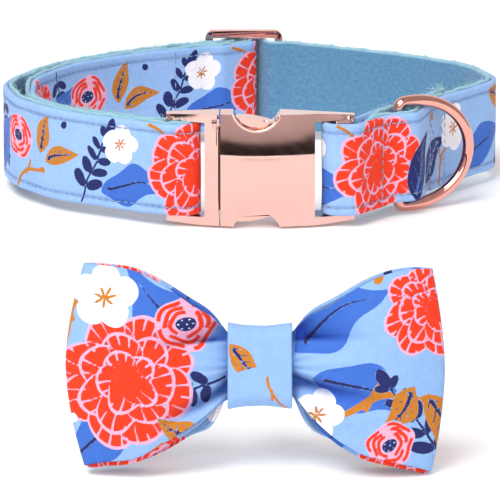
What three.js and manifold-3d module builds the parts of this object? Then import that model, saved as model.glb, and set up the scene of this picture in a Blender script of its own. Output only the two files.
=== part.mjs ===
// Pet collar with a detachable bow tie, in millimetres, +Z up.
//
// The collar stands on its edge as a closed ring, with its buckle in front (towards -Y), a D-ring on the
// right and a three-bar slider at the back. The bow tie is off the collar and stands in front of it.
import * as THREE from "three";
import Module from "manifold-3d";
import { mergeVertices } from "three/addons/utils/BufferGeometryUtils.js";

const wasm = await Module();
wasm.setup();

// Strap: webbing covered in printed cotton, lined with felt.
const STRAP_WIDTH = 25.4;
const STRAP_BOTTOM = 3.2;
const COVER_THICK = 1.5;
const FELT_THICK = 1.1;
const PLAY = 0.3;
const PLY_GAP = 0.2;
const STRAP_THICK = COVER_THICK + PLY_GAP + FELT_THICK;

// Buckle: a curved metal body of two halves. The taller D-ring and slider hold it off the floor.
const BUCKLE_LIFT = 0.7;
const BUCKLE_HEIGHT = 30.4;
const BUCKLE_LEFT = -22.4;
const BUCKLE_RIGHT = 28.6;
const BUCKLE_FRONT = -1;
const BUCKLE_BACK = 9;
const BUCKLE_BOW = 5.5;
const BUCKLE_RAIL = 2.2;
const PLATE_RIGHT = -8.05;
const PLATE_LEFT = -12;
const SOCKET_LEFT = -7.7;
const SOCKET_RIGHT = 17.8;
const BAR_RADIUS = 1.3;
const BAR_Y = 5;
const BAR_BOTTOM = BUCKLE_RAIL - 1;
const BAR_TOP = BUCKLE_HEIGHT - BAR_BOTTOM;

// Slider: three upright bars in a flat frame.
const SLIDER_WIDTH = 22.4;
const SLIDER_HEIGHT = 31.6;
const SLIDER_THICK = 2.6;
const SLIDER_SIDE_BAR = 2.3;
const SLIDER_RAIL = 2.2;
const SLIDER_CORNER = 2.4;
const SLIDER_X = -1.5;
const SLIDER_Y = 109.5;

// D-ring: round wire, a straight bar and a half ellipse.
const RING_HEIGHT = 32.4;
const RING_WIRE = 3.2;
const RING_DEPTH = 25.4;
const RING_FLAT = 5;
const RING_CORNER = 2.1;
const RING_X = 40.6;
const RING_Y = 18.2;
const RING_LIFT = 0.05;
const RING_REST_DEG = 27.5;

// Bow tie: half sizes from the middle of the knot.
const BOW_X = 2.5;
const BOW_Y = -221;
const BOW_LEAN_DEG = 11;
const BOW_REACH = { left: 44, right: 41.9 };
const BOW_END_BULGE = { left: 4.2, right: 2.9 };
const BOW_WALL = 1.5;
const KNOT_WIDTH = 14.6;
const KNOT_HALF_HEIGHT = 9.8;
const KNOT_HALF_DEPTH = 4.6;
const KNOT_WALL = 1.5;
const ELASTIC_WIDTH = 10;
const ELASTIC_HEIGHT = 19;
const ELASTIC_DEPTH = 10;
const ELASTIC_WALL = 1.2;

const cotton = { color: 0x9dc1ef, roughness: 0.85, metalness: 0 };
const felt = { color: 0x79aec6, roughness: 1, metalness: 0 };
const roseGold = { color: 0xf0b7a4, roughness: 0.22, metalness: 1 };
const elasticBand = { color: 0xf2f0ec, roughness: 0.9, metalness: 0 };

const degrees = (angle) => (angle * Math.PI) / 180;

function solid(name, geometry, look) {
  const mesh = new THREE.Mesh(geometry, new THREE.MeshStandardMaterial(look));
  mesh.name = name;
  return mesh;
}

// Turns every face the right way round: a closed body pointing outwards has a positive volume.
function facingOut(positions, triangles) {
  const corner = [0, 1, 2].map(() => new THREE.Vector3());
  let volume = 0;
  for (const triangle of triangles) {
    triangle.forEach((vertex, side) => corner[side].fromArray(positions[vertex]));
    volume += corner[0].dot(corner[1].cross(corner[2]));
  }
  const ordered = volume > 0 ? triangles : triangles.map(([a, b, c]) => [a, c, b]);
  const geometry = new THREE.BufferGeometry();
  geometry.setAttribute("position", new THREE.Float32BufferAttribute(positions.flat(), 3));
  geometry.setIndex(ordered.flat());
  return geometry;
}

// Skins a run of like sections, each a list of [x, y, z] round its outline. An open run gets two caps.
function skin(sections, { closed }) {
  const around = sections[0].length;
  const triangles = [];
  const spans = closed ? sections.length : sections.length - 1;
  for (let i = 0; i < spans; i += 1) {
    const here = i * around;
    const next = ((i + 1) % sections.length) * around;
    for (let k = 0; k < around; k += 1) {
      const after = (k + 1) % around;
      triangles.push([here + k, here + after, next + after], [here + k, next + after, next + k]);
    }
  }
  if (!closed) {
    const last = (sections.length - 1) * around;
    for (let k = 1; k < around - 1; k += 1) {
      triangles.push([0, k + 1, k], [last, last + k, last + k + 1]);
    }
  }
  return facingOut(sections.flat(), triangles);
}

// Extrudes a flat shape in the XY plane up from bottom to top.
function upright(shape, bottom, top, curveSegments = 12) {
  const settings = { depth: top - bottom, bevelEnabled: false, curveSegments };
  return new THREE.ExtrudeGeometry(shape, settings).translate(0, 0, bottom);
}

// Extrudes a flat shape drawn in X and Z through from y = front to y = back.
function through(shape, front, back, curveSegments = 12) {
  const settings = { depth: back - front, bevelEnabled: false, curveSegments };
  return new THREE.ExtrudeGeometry(shape, settings).rotateX(degrees(90)).translate(0, back, 0);
}

function block(low, high) {
  const size = high.map((value, axis) => value - low[axis]);
  const middle = high.map((value, axis) => (value + low[axis]) / 2);
  return new THREE.BoxGeometry(...size).translate(...middle);
}

function toManifold(geometry) {
  const bare = geometry.clone();
  bare.deleteAttribute("normal");
  bare.deleteAttribute("uv");
  const merged = mergeVertices(bare, 1e-4);
  const vertProperties = Float32Array.from(merged.attributes.position.array);
  const triVerts = Uint32Array.from(merged.index.array);
  return new wasm.Manifold(new wasm.Mesh({ numProp: 3, vertProperties, triVerts }));
}

function fromManifold(manifold) {
  const mesh = manifold.getMesh();
  const geometry = new THREE.BufferGeometry();
  geometry.setAttribute("position", new THREE.BufferAttribute(Float32Array.from(mesh.vertProperties), 3));
  geometry.setIndex(Array.from(mesh.triVerts));
  return geometry;
}

function cut(whole, ...geometries) {
  return geometries.map(toManifold).reduce((rest, piece) => rest.subtract(piece), whole);
}

// An upright bar with two round edges, from x = left to x = right.
function roundedBar(left, right, y, bottom, top) {
  const shape = new THREE.Shape();
  shape.absarc(right - BAR_RADIUS, y, BAR_RADIUS, degrees(-90), degrees(90));
  shape.absarc(left + BAR_RADIUS, y, BAR_RADIUS, degrees(90), degrees(270));
  return upright(shape, bottom, top, 8);
}

// Strap route.
//
// The route is the printed face of the strap, seen from above, as corners rounded to a radius. The felt
// lies on its left. It runs from the folded end inside the D-ring to the tail sewn behind the slider.
// squash is the share of its full thickness that the strap keeps where the slider pinches it.
const STRAP_ROUTE = [
  { at: "folded end", x: 52.0, y: 45.3, radius: 0, squash: 1 },
  { at: "behind the ring tunnel", x: 42.6, y: 29.6, radius: 10, squash: 1 },
  { at: "ring bar, inside", x: 36.2, y: 23.0, radius: 7, squash: 1 },
  { at: "inside the right bar", x: 27.4, y: 9.4, radius: 5, squash: 1 },
  { at: "right bar, inner turn", x: 19.6, y: 9.4, radius: 4.4, squash: 1 },
  { at: "right bar, outer turn", x: 19.6, y: 0.6, radius: 4.4, squash: 1 },
  { at: "leaves the buckle", x: 29.3, y: 0.6, radius: 5, squash: 1 },
  { at: "foot of the tunnel", x: 38.0, y: 12.1, radius: 8, squash: 1 },
  { at: "crest of the tunnel", x: 46.3, y: 14.2, radius: 5, squash: 1 },
  { at: "end of the tunnel", x: 51.2, y: 31.5, radius: 30, squash: 1 },
  { at: "right turn", x: 71.1, y: 57.6, radius: 14, squash: 1 },
  { at: "right side", x: 64.0, y: 77.0, radius: 25, squash: 1 },
  { at: "right of the back", x: 46.0, y: 91.4, radius: 60, squash: 1 },
  { at: "before the slider", x: 24.0, y: 102.1, radius: 60, squash: 0.75 },
  { at: "inside the slider's right bar", x: 11.9, y: 107.9, radius: 6, squash: 0.75 },
  { at: "into the right window", x: 7.26, y: 107.9, radius: 0.6, squash: 0.75 },
  { at: "over the middle bar", x: -1.5, y: 119.8, radius: 6.1, squash: 0.75 },
  { at: "out of the left window", x: -10.26, y: 107.9, radius: 0.6, squash: 0.75 },
  { at: "inside the slider's left bar", x: -13.5, y: 107.9, radius: 6, squash: 0.75 },
  { at: "past the tail", x: -24.0, y: 102.74, radius: 60, squash: 0.75 },
  { at: "left of the back", x: -36.5, y: 96.6, radius: 60, squash: 1 },
  { at: "left side, rear", x: -57.5, y: 78.5, radius: 45, squash: 1 },
  { at: "left turn", x: -69.9, y: 53.5, radius: 22, squash: 1 },
  { at: "left side, front", x: -65.0, y: 34.2, radius: 25, squash: 1 },
  { at: "left of the front", x: -53.5, y: 18.6, radius: 40, squash: 1 },
  { at: "meets the buckle", x: -22.3, y: 0.6, radius: 5, squash: 1 },
  { at: "left bar, outer turn", x: -13.0, y: 0.6, radius: 4.4, squash: 1 },
  { at: "left bar, inner turn", x: -13.0, y: 9.4, radius: 4.4, squash: 1 },
  { at: "return, front", x: -24.8, y: 9.4, radius: 8, squash: 1 },
  { at: "return, left of the front", x: -49.1, y: 23.5, radius: 33, squash: 1 },
  { at: "return cuts the turn, front", x: -59.2, y: 37.3, radius: 22, squash: 1 },
  { at: "return cuts the turn, rear", x: -59.5, y: 57.9, radius: 22, squash: 1 },
  { at: "return, left side", x: -51.2, y: 75.4, radius: 38, squash: 1 },
  { at: "return, left of the back", x: -33.0, y: 91.1, radius: 50, squash: 1 },
  { at: "return, behind the tail", x: -22.5, y: 95.6, radius: 50, squash: 0.75 },
  { at: "return, inside the slider", x: -11.9, y: 100.9, radius: 5, squash: 0.75 },
  { at: "return, into the right window", x: -7.48, y: 100.9, radius: 3, squash: 0.75 },
  { at: "middle bar, first turn", x: 2.2, y: 107.55, radius: 3.7, squash: 0.75 },
  { at: "middle bar, second turn", x: 2.2, y: 113.2, radius: 3.7, squash: 0.75 },
  { at: "middle bar, last turn", x: -3.38, y: 113.2, radius: 3.7, squash: 0.75 },
  { at: "tail, under the left bar", x: -9.05, y: 105.5, radius: 3, squash: 0.75 },
  { at: "tail, past the left bar", x: -12.95, y: 105.5, radius: 4, squash: 0.75 },
  { at: "end of the tail", x: -20.0, y: 102.0, radius: 0, squash: 0.75 },
];

// The two nodes of the strap meet where it crosses the slider's middle bar.
const SEAM = { x: SLIDER_X, y: SLIDER_Y + 6.1 };
const ARC_STEP_DEG = 9;
const ARC_STEP_LENGTH = 4.5;

// Walks a route as lines and arcs. Each station has a place, the direction to its left, and its squash.
function walk(route) {
  const stations = [];
  const add = (point, heading, squash) => {
    const before = stations[stations.length - 1];
    if (before && point.distanceTo(before.point) < 0.05) {
      return;
    }
    stations.push({ point, left: new THREE.Vector2(-Math.sin(heading), Math.cos(heading)), squash });
  };
  const corners = route.map(({ x, y, radius, squash }) => ({ at: new THREE.Vector2(x, y), radius, squash }));
  const heading = (i) => corners[i + 1].at.clone().sub(corners[i].at).angle();
  add(corners[0].at, heading(0), corners[0].squash);
  for (let i = 1; i < corners.length - 1; i += 1) {
    const { at, radius, squash } = corners[i];
    const into = heading(i - 1);
    const turn = Math.atan2(Math.sin(heading(i) - into), Math.cos(heading(i) - into));
    const reach = radius * Math.tan(Math.abs(turn) / 2);
    const side = Math.sign(turn) * radius;
    const start = new THREE.Vector2(Math.cos(into), Math.sin(into)).multiplyScalar(-reach).add(at);
    const centre = new THREE.Vector2(-Math.sin(into), Math.cos(into)).multiplyScalar(side).add(start);
    const byAngle = Math.ceil(Math.abs(turn) / degrees(ARC_STEP_DEG));
    const byLength = Math.ceil((Math.abs(turn) * radius) / ARC_STEP_LENGTH);
    const steps = Math.max(1, byAngle, byLength);
    for (let k = 0; k <= steps; k += 1) {
      const angle = into + (turn * k) / steps;
      const out = new THREE.Vector2(Math.sin(angle), -Math.cos(angle)).multiplyScalar(side);
      add(out.add(centre), angle, squash);
    }
  }
  const end = corners[corners.length - 1];
  add(end.at, heading(corners.length - 2), end.squash);
  return stations;
}

// The lower edge is gathered up where the D-ring comes out of the tunnel.
const GATHER = { x: 44.6, y: 19.4, rise: 0.8, inner: 8.6, outer: 12 };

function lowerEdge(point) {
  const away = Math.hypot(point.x - GATHER.x, point.y - GATHER.y);
  return STRAP_BOTTOM + GATHER.rise * (1 - THREE.MathUtils.smoothstep(away, GATHER.inner, GATHER.outer));
}

// A band of cloth that follows the stations, between two distances to the left of the printed face.
function ribbon(stations, near, far) {
  const sections = stations.map(({ point, left, squash }) => {
    const at = (distance, z) => {
      const place = left.clone().multiplyScalar(distance * squash).add(point);
      return [place.x, place.y, z];
    };
    const low = lowerEdge(point);
    const high = STRAP_BOTTOM + STRAP_WIDTH;
    return [at(near, low), at(far, low), at(far, high), at(near, high)];
  });
  return skin(sections, { closed: false });
}

function buildStrap() {
  const stations = walk(STRAP_ROUTE);
  const away = ({ point }) => Math.hypot(point.x - SEAM.x, point.y - SEAM.y);
  const crest = stations.reduce((best, station, i) => (away(station) < away(stations[best]) ? i : best), 0);
  const here = stations[crest];
  const next = stations[crest + 1];
  const share = PLAY / next.point.distanceTo(here.point);
  const resumed = { ...next, point: here.point.clone().lerp(next.point, share), left: here.left };
  const runs = {
    right: stations.slice(0, crest + 1),
    left: [resumed, ...stations.slice(crest + 1)],
  };
  return Object.entries(runs).flatMap(([side, run]) => [
    solid(`strap_${side}`, ribbon(run, 0, COVER_THICK), cotton),
    solid(`felt_${side}`, ribbon(run, COVER_THICK + PLY_GAP, STRAP_THICK), felt),
  ]);
}

// Buckle.
//
// Both halves are cut from one body whose front is an arc. Each strap bar joins the ends of its two rails.
const NOTCH = { x: 2.05, radius: 6.8, depth: 4.2 };
const TONGUE = { front: 2.3, back: 6.1, base: -8.6, tip: 13.2, top: 27.4 };
const TONGUE_SLOT = { left: -3, half: 4.6 };
const TONGUE_NECK = 22;
const LUG_TOP = BUCKLE_HEIGHT - 0.7;
const CAVITY_END = 13.6;
const RIB = { left: -10.1, right: -8.9, bottom: 22, top: 29, proud: 0.5 };

function buckleBody() {
  const half = (BUCKLE_RIGHT - BUCKLE_LEFT) / 2;
  const middle = (BUCKLE_RIGHT + BUCKLE_LEFT) / 2;
  const radius = (half ** 2 + BUCKLE_BOW ** 2) / (2 * BUCKLE_BOW);
  const spread = Math.asin(half / radius);
  const shape = new THREE.Shape();
  shape.absarc(middle, BUCKLE_FRONT + radius, radius, degrees(-90) - spread, degrees(-90) + spread);
  shape.lineTo(BUCKLE_RIGHT, BUCKLE_BACK);
  shape.lineTo(BUCKLE_LEFT, BUCKLE_BACK);
  return toManifold(upright(shape, 0, BUCKLE_HEIGHT, 20));
}

// The round cutter of a notch, about an axis along Y, smaller by play for the lug inside it.
function notchRound(atTop, play, front, back) {
  const z = atTop ? BUCKLE_HEIGHT - NOTCH.depth + NOTCH.radius : NOTCH.depth - NOTCH.radius;
  const cylinder = new THREE.CylinderGeometry(NOTCH.radius - play, NOTCH.radius - play, back - front, 48);
  return cylinder.translate(NOTCH.x, (front + back) / 2, z);
}

function tongue() {
  const { front, back, base, tip, top } = TONGUE;
  const { left: slotLeft, half: slotHalf } = TONGUE_SLOT;
  const low = BUCKLE_HEIGHT - top;
  const middle = BUCKLE_HEIGHT / 2;
  const outline = [
    [base, middle - TONGUE_NECK / 2], [PLATE_RIGHT + 2, low], [NOTCH.x + 6, low], [tip, low + 4],
    [tip, middle - slotHalf], [slotLeft, middle - slotHalf], [slotLeft, middle + slotHalf],
    [tip, middle + slotHalf], [tip, top - 4], [NOTCH.x + 6, top], [PLATE_RIGHT + 2, top],
    [base, middle + TONGUE_NECK / 2],
  ];
  const shape = new THREE.Shape(outline.map(([x, z]) => new THREE.Vector2(x, z)));
  const prongs = toManifold(through(shape, front, back));
  const lugs = [true, false].map((atTop) => {
    const bottom = atTop ? TONGUE.top - 1.6 : BUCKLE_HEIGHT - LUG_TOP;
    const height = atTop ? LUG_TOP : BUCKLE_HEIGHT - TONGUE.top + 1.6;
    const round = toManifold(notchRound(atTop, PLAY, front, back));
    return round.intersect(toManifold(block([NOTCH.x - 6, front, bottom], [NOTCH.x + 6, back, height])));
  });
  return prongs.add(lugs[0]).add(lugs[1]);
}

function buildPlug() {
  const windowHole = block(
    [BUCKLE_LEFT - 1, BUCKLE_FRONT - 1, BUCKLE_RAIL],
    [PLATE_LEFT, BUCKLE_BACK + 1, BUCKLE_HEIGHT - BUCKLE_RAIL],
  );
  const keep = block(
    [BUCKLE_LEFT - 1, BUCKLE_FRONT - 1, -1],
    [PLATE_RIGHT, BUCKLE_BACK + 1, BUCKLE_HEIGHT + 1],
  );
  const frame = cut(buckleBody().intersect(toManifold(keep)), windowHole);
  const barRight = PLATE_LEFT - STRAP_THICK - PLAY - 1;
  const bar = roundedBar(BUCKLE_LEFT + 0.2, barRight, BAR_Y, BAR_BOTTOM, BAR_TOP);
  const ribFront = BUCKLE_FRONT + 1.2 - RIB.proud;
  const rib = block([RIB.left, ribFront, RIB.bottom], [RIB.right, ribFront + 2, RIB.top]);
  const whole = frame.add(toManifold(bar)).add(toManifold(rib)).add(tongue());
  return solid("buckle_plug", fromManifold(whole).translate(0, 0, BUCKLE_LIFT), roseGold);
}

function buildSocket() {
  const windowHole = block(
    [SOCKET_RIGHT, BUCKLE_FRONT - 1, BUCKLE_RAIL],
    [BUCKLE_RIGHT + 1, BUCKLE_BACK + 1, BUCKLE_HEIGHT - BUCKLE_RAIL],
  );
  const keep = block(
    [SOCKET_LEFT, BUCKLE_FRONT - 1, -1],
    [BUCKLE_RIGHT + 1, BUCKLE_BACK + 1, BUCKLE_HEIGHT + 1],
  );
  const cavity = block(
    [SOCKET_LEFT - 1, TONGUE.front - PLAY, BUCKLE_HEIGHT - TONGUE.top - PLAY],
    [CAVITY_END, TONGUE.back + PLAY, TONGUE.top + PLAY],
  );
  const notches = [true, false].map((atTop) => notchRound(atTop, 0, BUCKLE_FRONT - 1, BUCKLE_BACK + 1));
  const body = cut(buckleBody().intersect(toManifold(keep)), windowHole, cavity, ...notches);
  const barLeft = SOCKET_RIGHT + STRAP_THICK + PLAY + 1.8;
  const bar = roundedBar(barLeft, BUCKLE_RIGHT - 0.4, BAR_Y, BAR_BOTTOM, BAR_TOP);
  const whole = fromManifold(body.add(toManifold(bar)));
  return solid("buckle_socket", whole.translate(0, 0, BUCKLE_LIFT), roseGold);
}

// Slider.
function roundedOutline(left, right, bottom, top, corner) {
  const shape = new THREE.Shape();
  shape.absarc(right - corner, bottom + corner, corner, degrees(-90), 0);
  shape.absarc(right - corner, top - corner, corner, 0, degrees(90));
  shape.absarc(left + corner, top - corner, corner, degrees(90), degrees(180));
  shape.absarc(left + corner, bottom + corner, corner, degrees(180), degrees(270));
  return shape;
}

function buildSlider() {
  const left = SLIDER_X - SLIDER_WIDTH / 2;
  const right = SLIDER_X + SLIDER_WIDTH / 2;
  const front = SLIDER_Y - SLIDER_THICK / 2;
  const back = SLIDER_Y + SLIDER_THICK / 2;
  const plate = through(roundedOutline(left, right, 0, SLIDER_HEIGHT, SLIDER_CORNER), front, back, 5);
  const hole = block(
    [left + SLIDER_SIDE_BAR, front - 1, SLIDER_RAIL],
    [right - SLIDER_SIDE_BAR, back + 1, SLIDER_HEIGHT - SLIDER_RAIL],
  );
  const middle = new THREE.CylinderGeometry(BAR_RADIUS, BAR_RADIUS, SLIDER_HEIGHT - 2 * SLIDER_RAIL + 2, 20);
  middle.rotateX(degrees(90)).translate(SLIDER_X, SLIDER_Y, SLIDER_HEIGHT / 2);
  const whole = cut(toManifold(plate), hole).add(toManifold(middle));
  return solid("slider", fromManifold(whole), roseGold);
}

// D-ring.
//
// The wire's centre line, with the straight bar on x = 0: up the bar, round a corner, along the flat and
// round the half ellipse.
const RING_SIDES = 14;

function ringLine() {
  const halfHeight = (RING_HEIGHT - RING_WIRE) / 2;
  const reach = RING_DEPTH - RING_WIRE - RING_FLAT;
  const quarter = (x, z, from) => Array.from({ length: 5 }, (_, k) => {
    const angle = degrees(from - (90 * k) / 4);
    return [x + RING_CORNER * Math.cos(angle), z + RING_CORNER * Math.sin(angle)];
  });
  const half = Array.from({ length: 25 }, (_, k) => {
    const angle = degrees(90 - (180 * k) / 24);
    return [RING_FLAT + reach * Math.cos(angle), halfHeight * Math.sin(angle)];
  });
  const top = quarter(RING_CORNER, halfHeight - RING_CORNER, 180);
  const bottom = quarter(RING_CORNER, RING_CORNER - halfHeight, -90);
  return [...top, ...half, ...bottom].map(([x, z]) => new THREE.Vector2(x, z));
}

function buildRing() {
  const line = ringLine();
  const sections = line.map((point, i) => {
    const before = line[(i + line.length - 1) % line.length];
    const after = line[(i + 1) % line.length];
    const along = after.clone().sub(before).normalize();
    return Array.from({ length: RING_SIDES }, (_, k) => {
      const angle = (2 * Math.PI * k) / RING_SIDES;
      const out = (RING_WIRE / 2) * Math.cos(angle);
      return [point.x + along.y * out, (RING_WIRE / 2) * Math.sin(angle), point.y - along.x * out];
    });
  });
  const ring = solid("d_ring", skin(sections, { closed: true }), roseGold);
  const turned = new THREE.Group();
  turned.rotation.z = degrees(RING_REST_DEG);
  turned.position.set(RING_X, RING_Y, RING_LIFT + RING_HEIGHT / 2);
  turned.add(ring);
  return turned;
}

// Bow tie.
//
// Each row is an upright section of the loop, at a distance out from the middle of the knot: the height of
// the top edge, of the front cloth's lower edge and of the rear cloth's lower edge, and half its depth.
const LOBE = {
  left: [
    { out: 0.0, top: 7.4, front: -7.4, rear: -7.4, depth: 2.0 },
    { out: 7.6, top: 7.4, front: -6.6, rear: -7.4, depth: 2.4 },
    { out: 9.6, top: 11.8, front: -8.6, rear: -12.0, depth: 3.8 },
    { out: 16.0, top: 16.4, front: -13.7, rear: -16.6, depth: 6.4 },
    { out: 21.8, top: 19.9, front: -17.3, rear: -20.0, depth: 7.6 },
    { out: 27.6, top: 22.0, front: -20.4, rear: -22.3, depth: 7.4 },
    { out: 35.5, top: 23.0, front: -21.5, rear: -23.2, depth: 5.6 },
    { out: 41.0, top: 23.3, front: -21.8, rear: -23.3, depth: 3.9 },
  ],
  right: [
    { out: 0.0, top: 7.4, front: -7.4, rear: -7.4, depth: 2.0 },
    { out: 7.6, top: 7.4, front: -6.4, rear: -7.4, depth: 2.4 },
    { out: 9.4, top: 11.4, front: -8.6, rear: -11.6, depth: 3.8 },
    { out: 16.6, top: 16.6, front: -15.8, rear: -17.6, depth: 6.6 },
    { out: 23.6, top: 20.4, front: -19.9, rear: -21.2, depth: 7.8 },
    { out: 28.2, top: 21.6, front: -21.1, rear: -22.8, depth: 7.4 },
    { out: 33.2, top: 22.0, front: -22.3, rear: -23.8, depth: 6.0 },
    { out: 39.0, top: 22.1, front: -23.2, rear: -24.4, depth: 3.9 },
  ],
};

// Folds in the front cloth: each runs from one place to another and dips by depth, spread over width.
const FOLDS = [
  { fromX: -7, fromZ: 3.6, toX: -25, toZ: 3.2, depth: 1.6, width: 2.2 },
  { fromX: -7, fromZ: -3.4, toX: -19, toZ: -8.5, depth: 0.9, width: 2.2 },
  { fromX: 7, fromZ: 5.0, toX: 21, toZ: 5.4, depth: 1.5, width: 2.2 },
  { fromX: 9, fromZ: 6.5, toX: 23, toZ: 17.5, depth: 0.8, width: 2.6 },
  { fromX: 7, fromZ: -3.5, toX: 27, toZ: -8.0, depth: 1.3, width: 2.4 },
];
const LOBE_STEPS = 15;
const KNOT_STEPS = 2;
const RISE_STEPS = 10;

function rowAt(rows, out) {
  const next = Math.max(1, rows.findIndex((row, i) => i > 0 && row.out >= out));
  const after = rows[next] ?? rows[rows.length - 1];
  const before = rows[next - 1];
  const share = THREE.MathUtils.clamp((out - before.out) / (after.out - before.out), 0, 1);
  const blend = (column) => THREE.MathUtils.lerp(before[column], after[column], share);
  return { top: blend("top"), front: blend("front"), rear: blend("rear"), depth: blend("depth") };
}

function foldDip(x, z) {
  return FOLDS.reduce((sum, { fromX, fromZ, toX, toZ, depth, width }) => {
    const start = new THREE.Vector2(fromX, fromZ);
    const fold = new THREE.Vector2(toX, toZ).sub(start);
    const offset = new THREE.Vector2(x, z).sub(start);
    const share = THREE.MathUtils.clamp(offset.dot(fold) / fold.lengthSq(), 0, 1);
    const away = offset.distanceTo(fold.multiplyScalar(share));
    return sum + depth * (1 - 0.7 * share) * Math.exp(-((away / width) ** 2));
  }, 0);
}

// The distance out at a share of the way from the knot's middle to the end fold. The first stops lie inside
// the knot, and the last of them just outside it, so the cloth only widens past the knot.
function outAt(share, reach) {
  const inside = KNOT_STEPS / LOBE_STEPS;
  const edge = KNOT_WIDTH / 2 + PLAY;
  if (share <= inside) {
    return (edge * share) / inside;
  }
  const rest = (share - inside) / (1 - inside);
  return edge + (reach - edge) * (0.55 * rest + 0.45 * Math.sin((rest * Math.PI) / 2));
}

// One point of the loop's outer face. turn runs from 0 at the knot in front, by 1 at the end fold, to 2 at
// the knot behind; rise runs from -1 at the lower edge to 1 at the top edge.
function lobePoint(side, turn, rise) {
  const rear = turn > 1;
  const share = rear ? 2 - turn : turn;
  const reach = BOW_REACH[side] - BOW_END_BULGE[side] * Math.abs(rise) ** 1.7 * share ** 2;
  const out = outAt(share, reach);
  const row = rowAt(LOBE[side], out);
  const fade = THREE.MathUtils.smoothstep(share, 0.75, 1);
  const foot = THREE.MathUtils.lerp(rear ? row.rear : row.front, (row.front + row.rear) / 2, fade);
  const z = THREE.MathUtils.lerp(foot, row.top, (rise + 1) / 2);
  const closing = Math.sqrt(Math.max(0, 1 - share ** 8));
  const crown = 1 - 0.28 * rise ** 2 * THREE.MathUtils.smoothstep(out, 9, 20);
  const x = side === "left" ? -out : out;
  const dip = rear ? 0 : foldDip(x, z) * closing;
  const y = row.depth * closing * crown - dip;
  return [x, rear ? y : -y, z];
}

function bowLoop() {
  const turns = Array.from({ length: 2 * LOBE_STEPS + 1 }, (_, k) => k / LOBE_STEPS);
  const rises = Array.from({ length: RISE_STEPS + 1 }, (_, k) => -1 + (2 * k) / RISE_STEPS);
  const stops = [
    ...turns.slice(0, -1).map((turn) => ({ side: "right", turn })),
    ...turns.slice(0, -1).map((turn) => ({ side: "left", turn: 2 - turn })),
  ];
  const outer = stops.map(({ side, turn }) => rises.map((rise) => lobePoint(side, turn, rise)));
  const wrap = (i) => (i + stops.length) % stops.length;
  const sections = outer.map((column, i) => {
    const inner = column.map(([x, y, z], k) => {
      const before = outer[wrap(i - 1)][k];
      const after = outer[wrap(i + 1)][k];
      const along = new THREE.Vector2(after[0] - before[0], after[1] - before[1]).normalize();
      return [x - along.y * BOW_WALL, y + along.x * BOW_WALL, z];
    });
    return [...column, ...inner.reverse()];
  });
  return skin(sections, { closed: true });
}

// A band round the X axis: a rounded oblong in Y and Z, hollow, centred on x = 0.
function band(width, halfDepth, halfHeight, corner, wall, y) {
  const outline = (inset) => {
    const deep = halfDepth - inset;
    const high = halfHeight - inset;
    return roundedOutline(y - deep, y + deep, -high, high, Math.max(corner - inset, 0.5));
  };
  const shape = outline(0);
  shape.holes.push(outline(wall));
  const geometry = new THREE.ExtrudeGeometry(shape, { depth: width, bevelEnabled: false, curveSegments: 5 });
  return geometry.translate(0, 0, -width / 2).rotateX(degrees(90)).rotateZ(degrees(90));
}

function buildBow() {
  const lean = new THREE.Group();
  lean.add(solid("bow_loop", bowLoop(), cotton));
  const knot = band(KNOT_WIDTH, KNOT_HALF_DEPTH, KNOT_HALF_HEIGHT, 3.2, KNOT_WALL, 0);
  lean.add(solid("bow_knot", knot, cotton));
  const elasticY = KNOT_HALF_DEPTH + PLAY + ELASTIC_DEPTH / 2;
  const elastic = band(ELASTIC_WIDTH, ELASTIC_DEPTH / 2, ELASTIC_HEIGHT / 2, 2.4, ELASTIC_WALL, elasticY);
  lean.add(solid("bow_elastic", elastic, elasticBand));
  lean.rotation.x = degrees(-BOW_LEAN_DEG);
  const bow = new THREE.Group();
  bow.add(lean);
  bow.updateMatrixWorld(true);
  const lowest = new THREE.Box3().setFromObject(bow, true).min.z;
  bow.position.set(BOW_X, BOW_Y, -lowest);
  return bow;
}

const collar = new THREE.Group();
collar.add(...buildStrap());
collar.add(buildPlug());
collar.add(buildSocket());
collar.add(buildSlider());
collar.add(buildRing());
collar.add(buildBow());

// The origin is on the floor, in the middle of the whole.
collar.updateMatrixWorld(true);
const extent = new THREE.Box3().setFromObject(collar, true);
collar.position.set(-(extent.min.x + extent.max.x) / 2, -(extent.min.y + extent.max.y) / 2, -extent.min.z);

export default collar;
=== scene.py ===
import math

import bmesh
import bpy
import numpy as np
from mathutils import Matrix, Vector


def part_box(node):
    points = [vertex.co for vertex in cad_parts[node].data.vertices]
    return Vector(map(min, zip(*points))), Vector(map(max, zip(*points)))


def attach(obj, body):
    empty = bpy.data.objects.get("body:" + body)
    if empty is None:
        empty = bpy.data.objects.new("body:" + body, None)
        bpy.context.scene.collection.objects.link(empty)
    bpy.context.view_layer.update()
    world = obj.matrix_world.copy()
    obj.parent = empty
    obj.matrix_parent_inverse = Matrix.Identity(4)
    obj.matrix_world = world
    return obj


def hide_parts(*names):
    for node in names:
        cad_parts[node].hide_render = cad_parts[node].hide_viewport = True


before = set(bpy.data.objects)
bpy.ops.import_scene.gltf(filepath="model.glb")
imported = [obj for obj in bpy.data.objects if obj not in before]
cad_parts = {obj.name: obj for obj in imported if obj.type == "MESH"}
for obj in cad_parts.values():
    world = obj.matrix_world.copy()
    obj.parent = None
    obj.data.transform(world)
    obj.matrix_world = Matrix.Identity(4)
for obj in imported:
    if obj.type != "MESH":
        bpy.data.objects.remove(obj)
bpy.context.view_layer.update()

# Camera. A long lens looks down at 14.5 degrees on the front of the buckle, with the bow tie nearer to it.
# Lengths are drawn in millimetres from the middle of the buckle's foot, and the slider says where that is.
slider_low, slider_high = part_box("slider")
slider_drawn_at = Vector((-0.0015, 0.1095, 0))
drawing_origin = (slider_low + slider_high) / 2 - slider_drawn_at
drawing_origin.z = 0


def in_frame(points):
    """Points drawn in millimetres, as metres in the collar's frame."""
    return np.asarray(points, float) / 1000 + np.array(drawing_origin)


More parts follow.
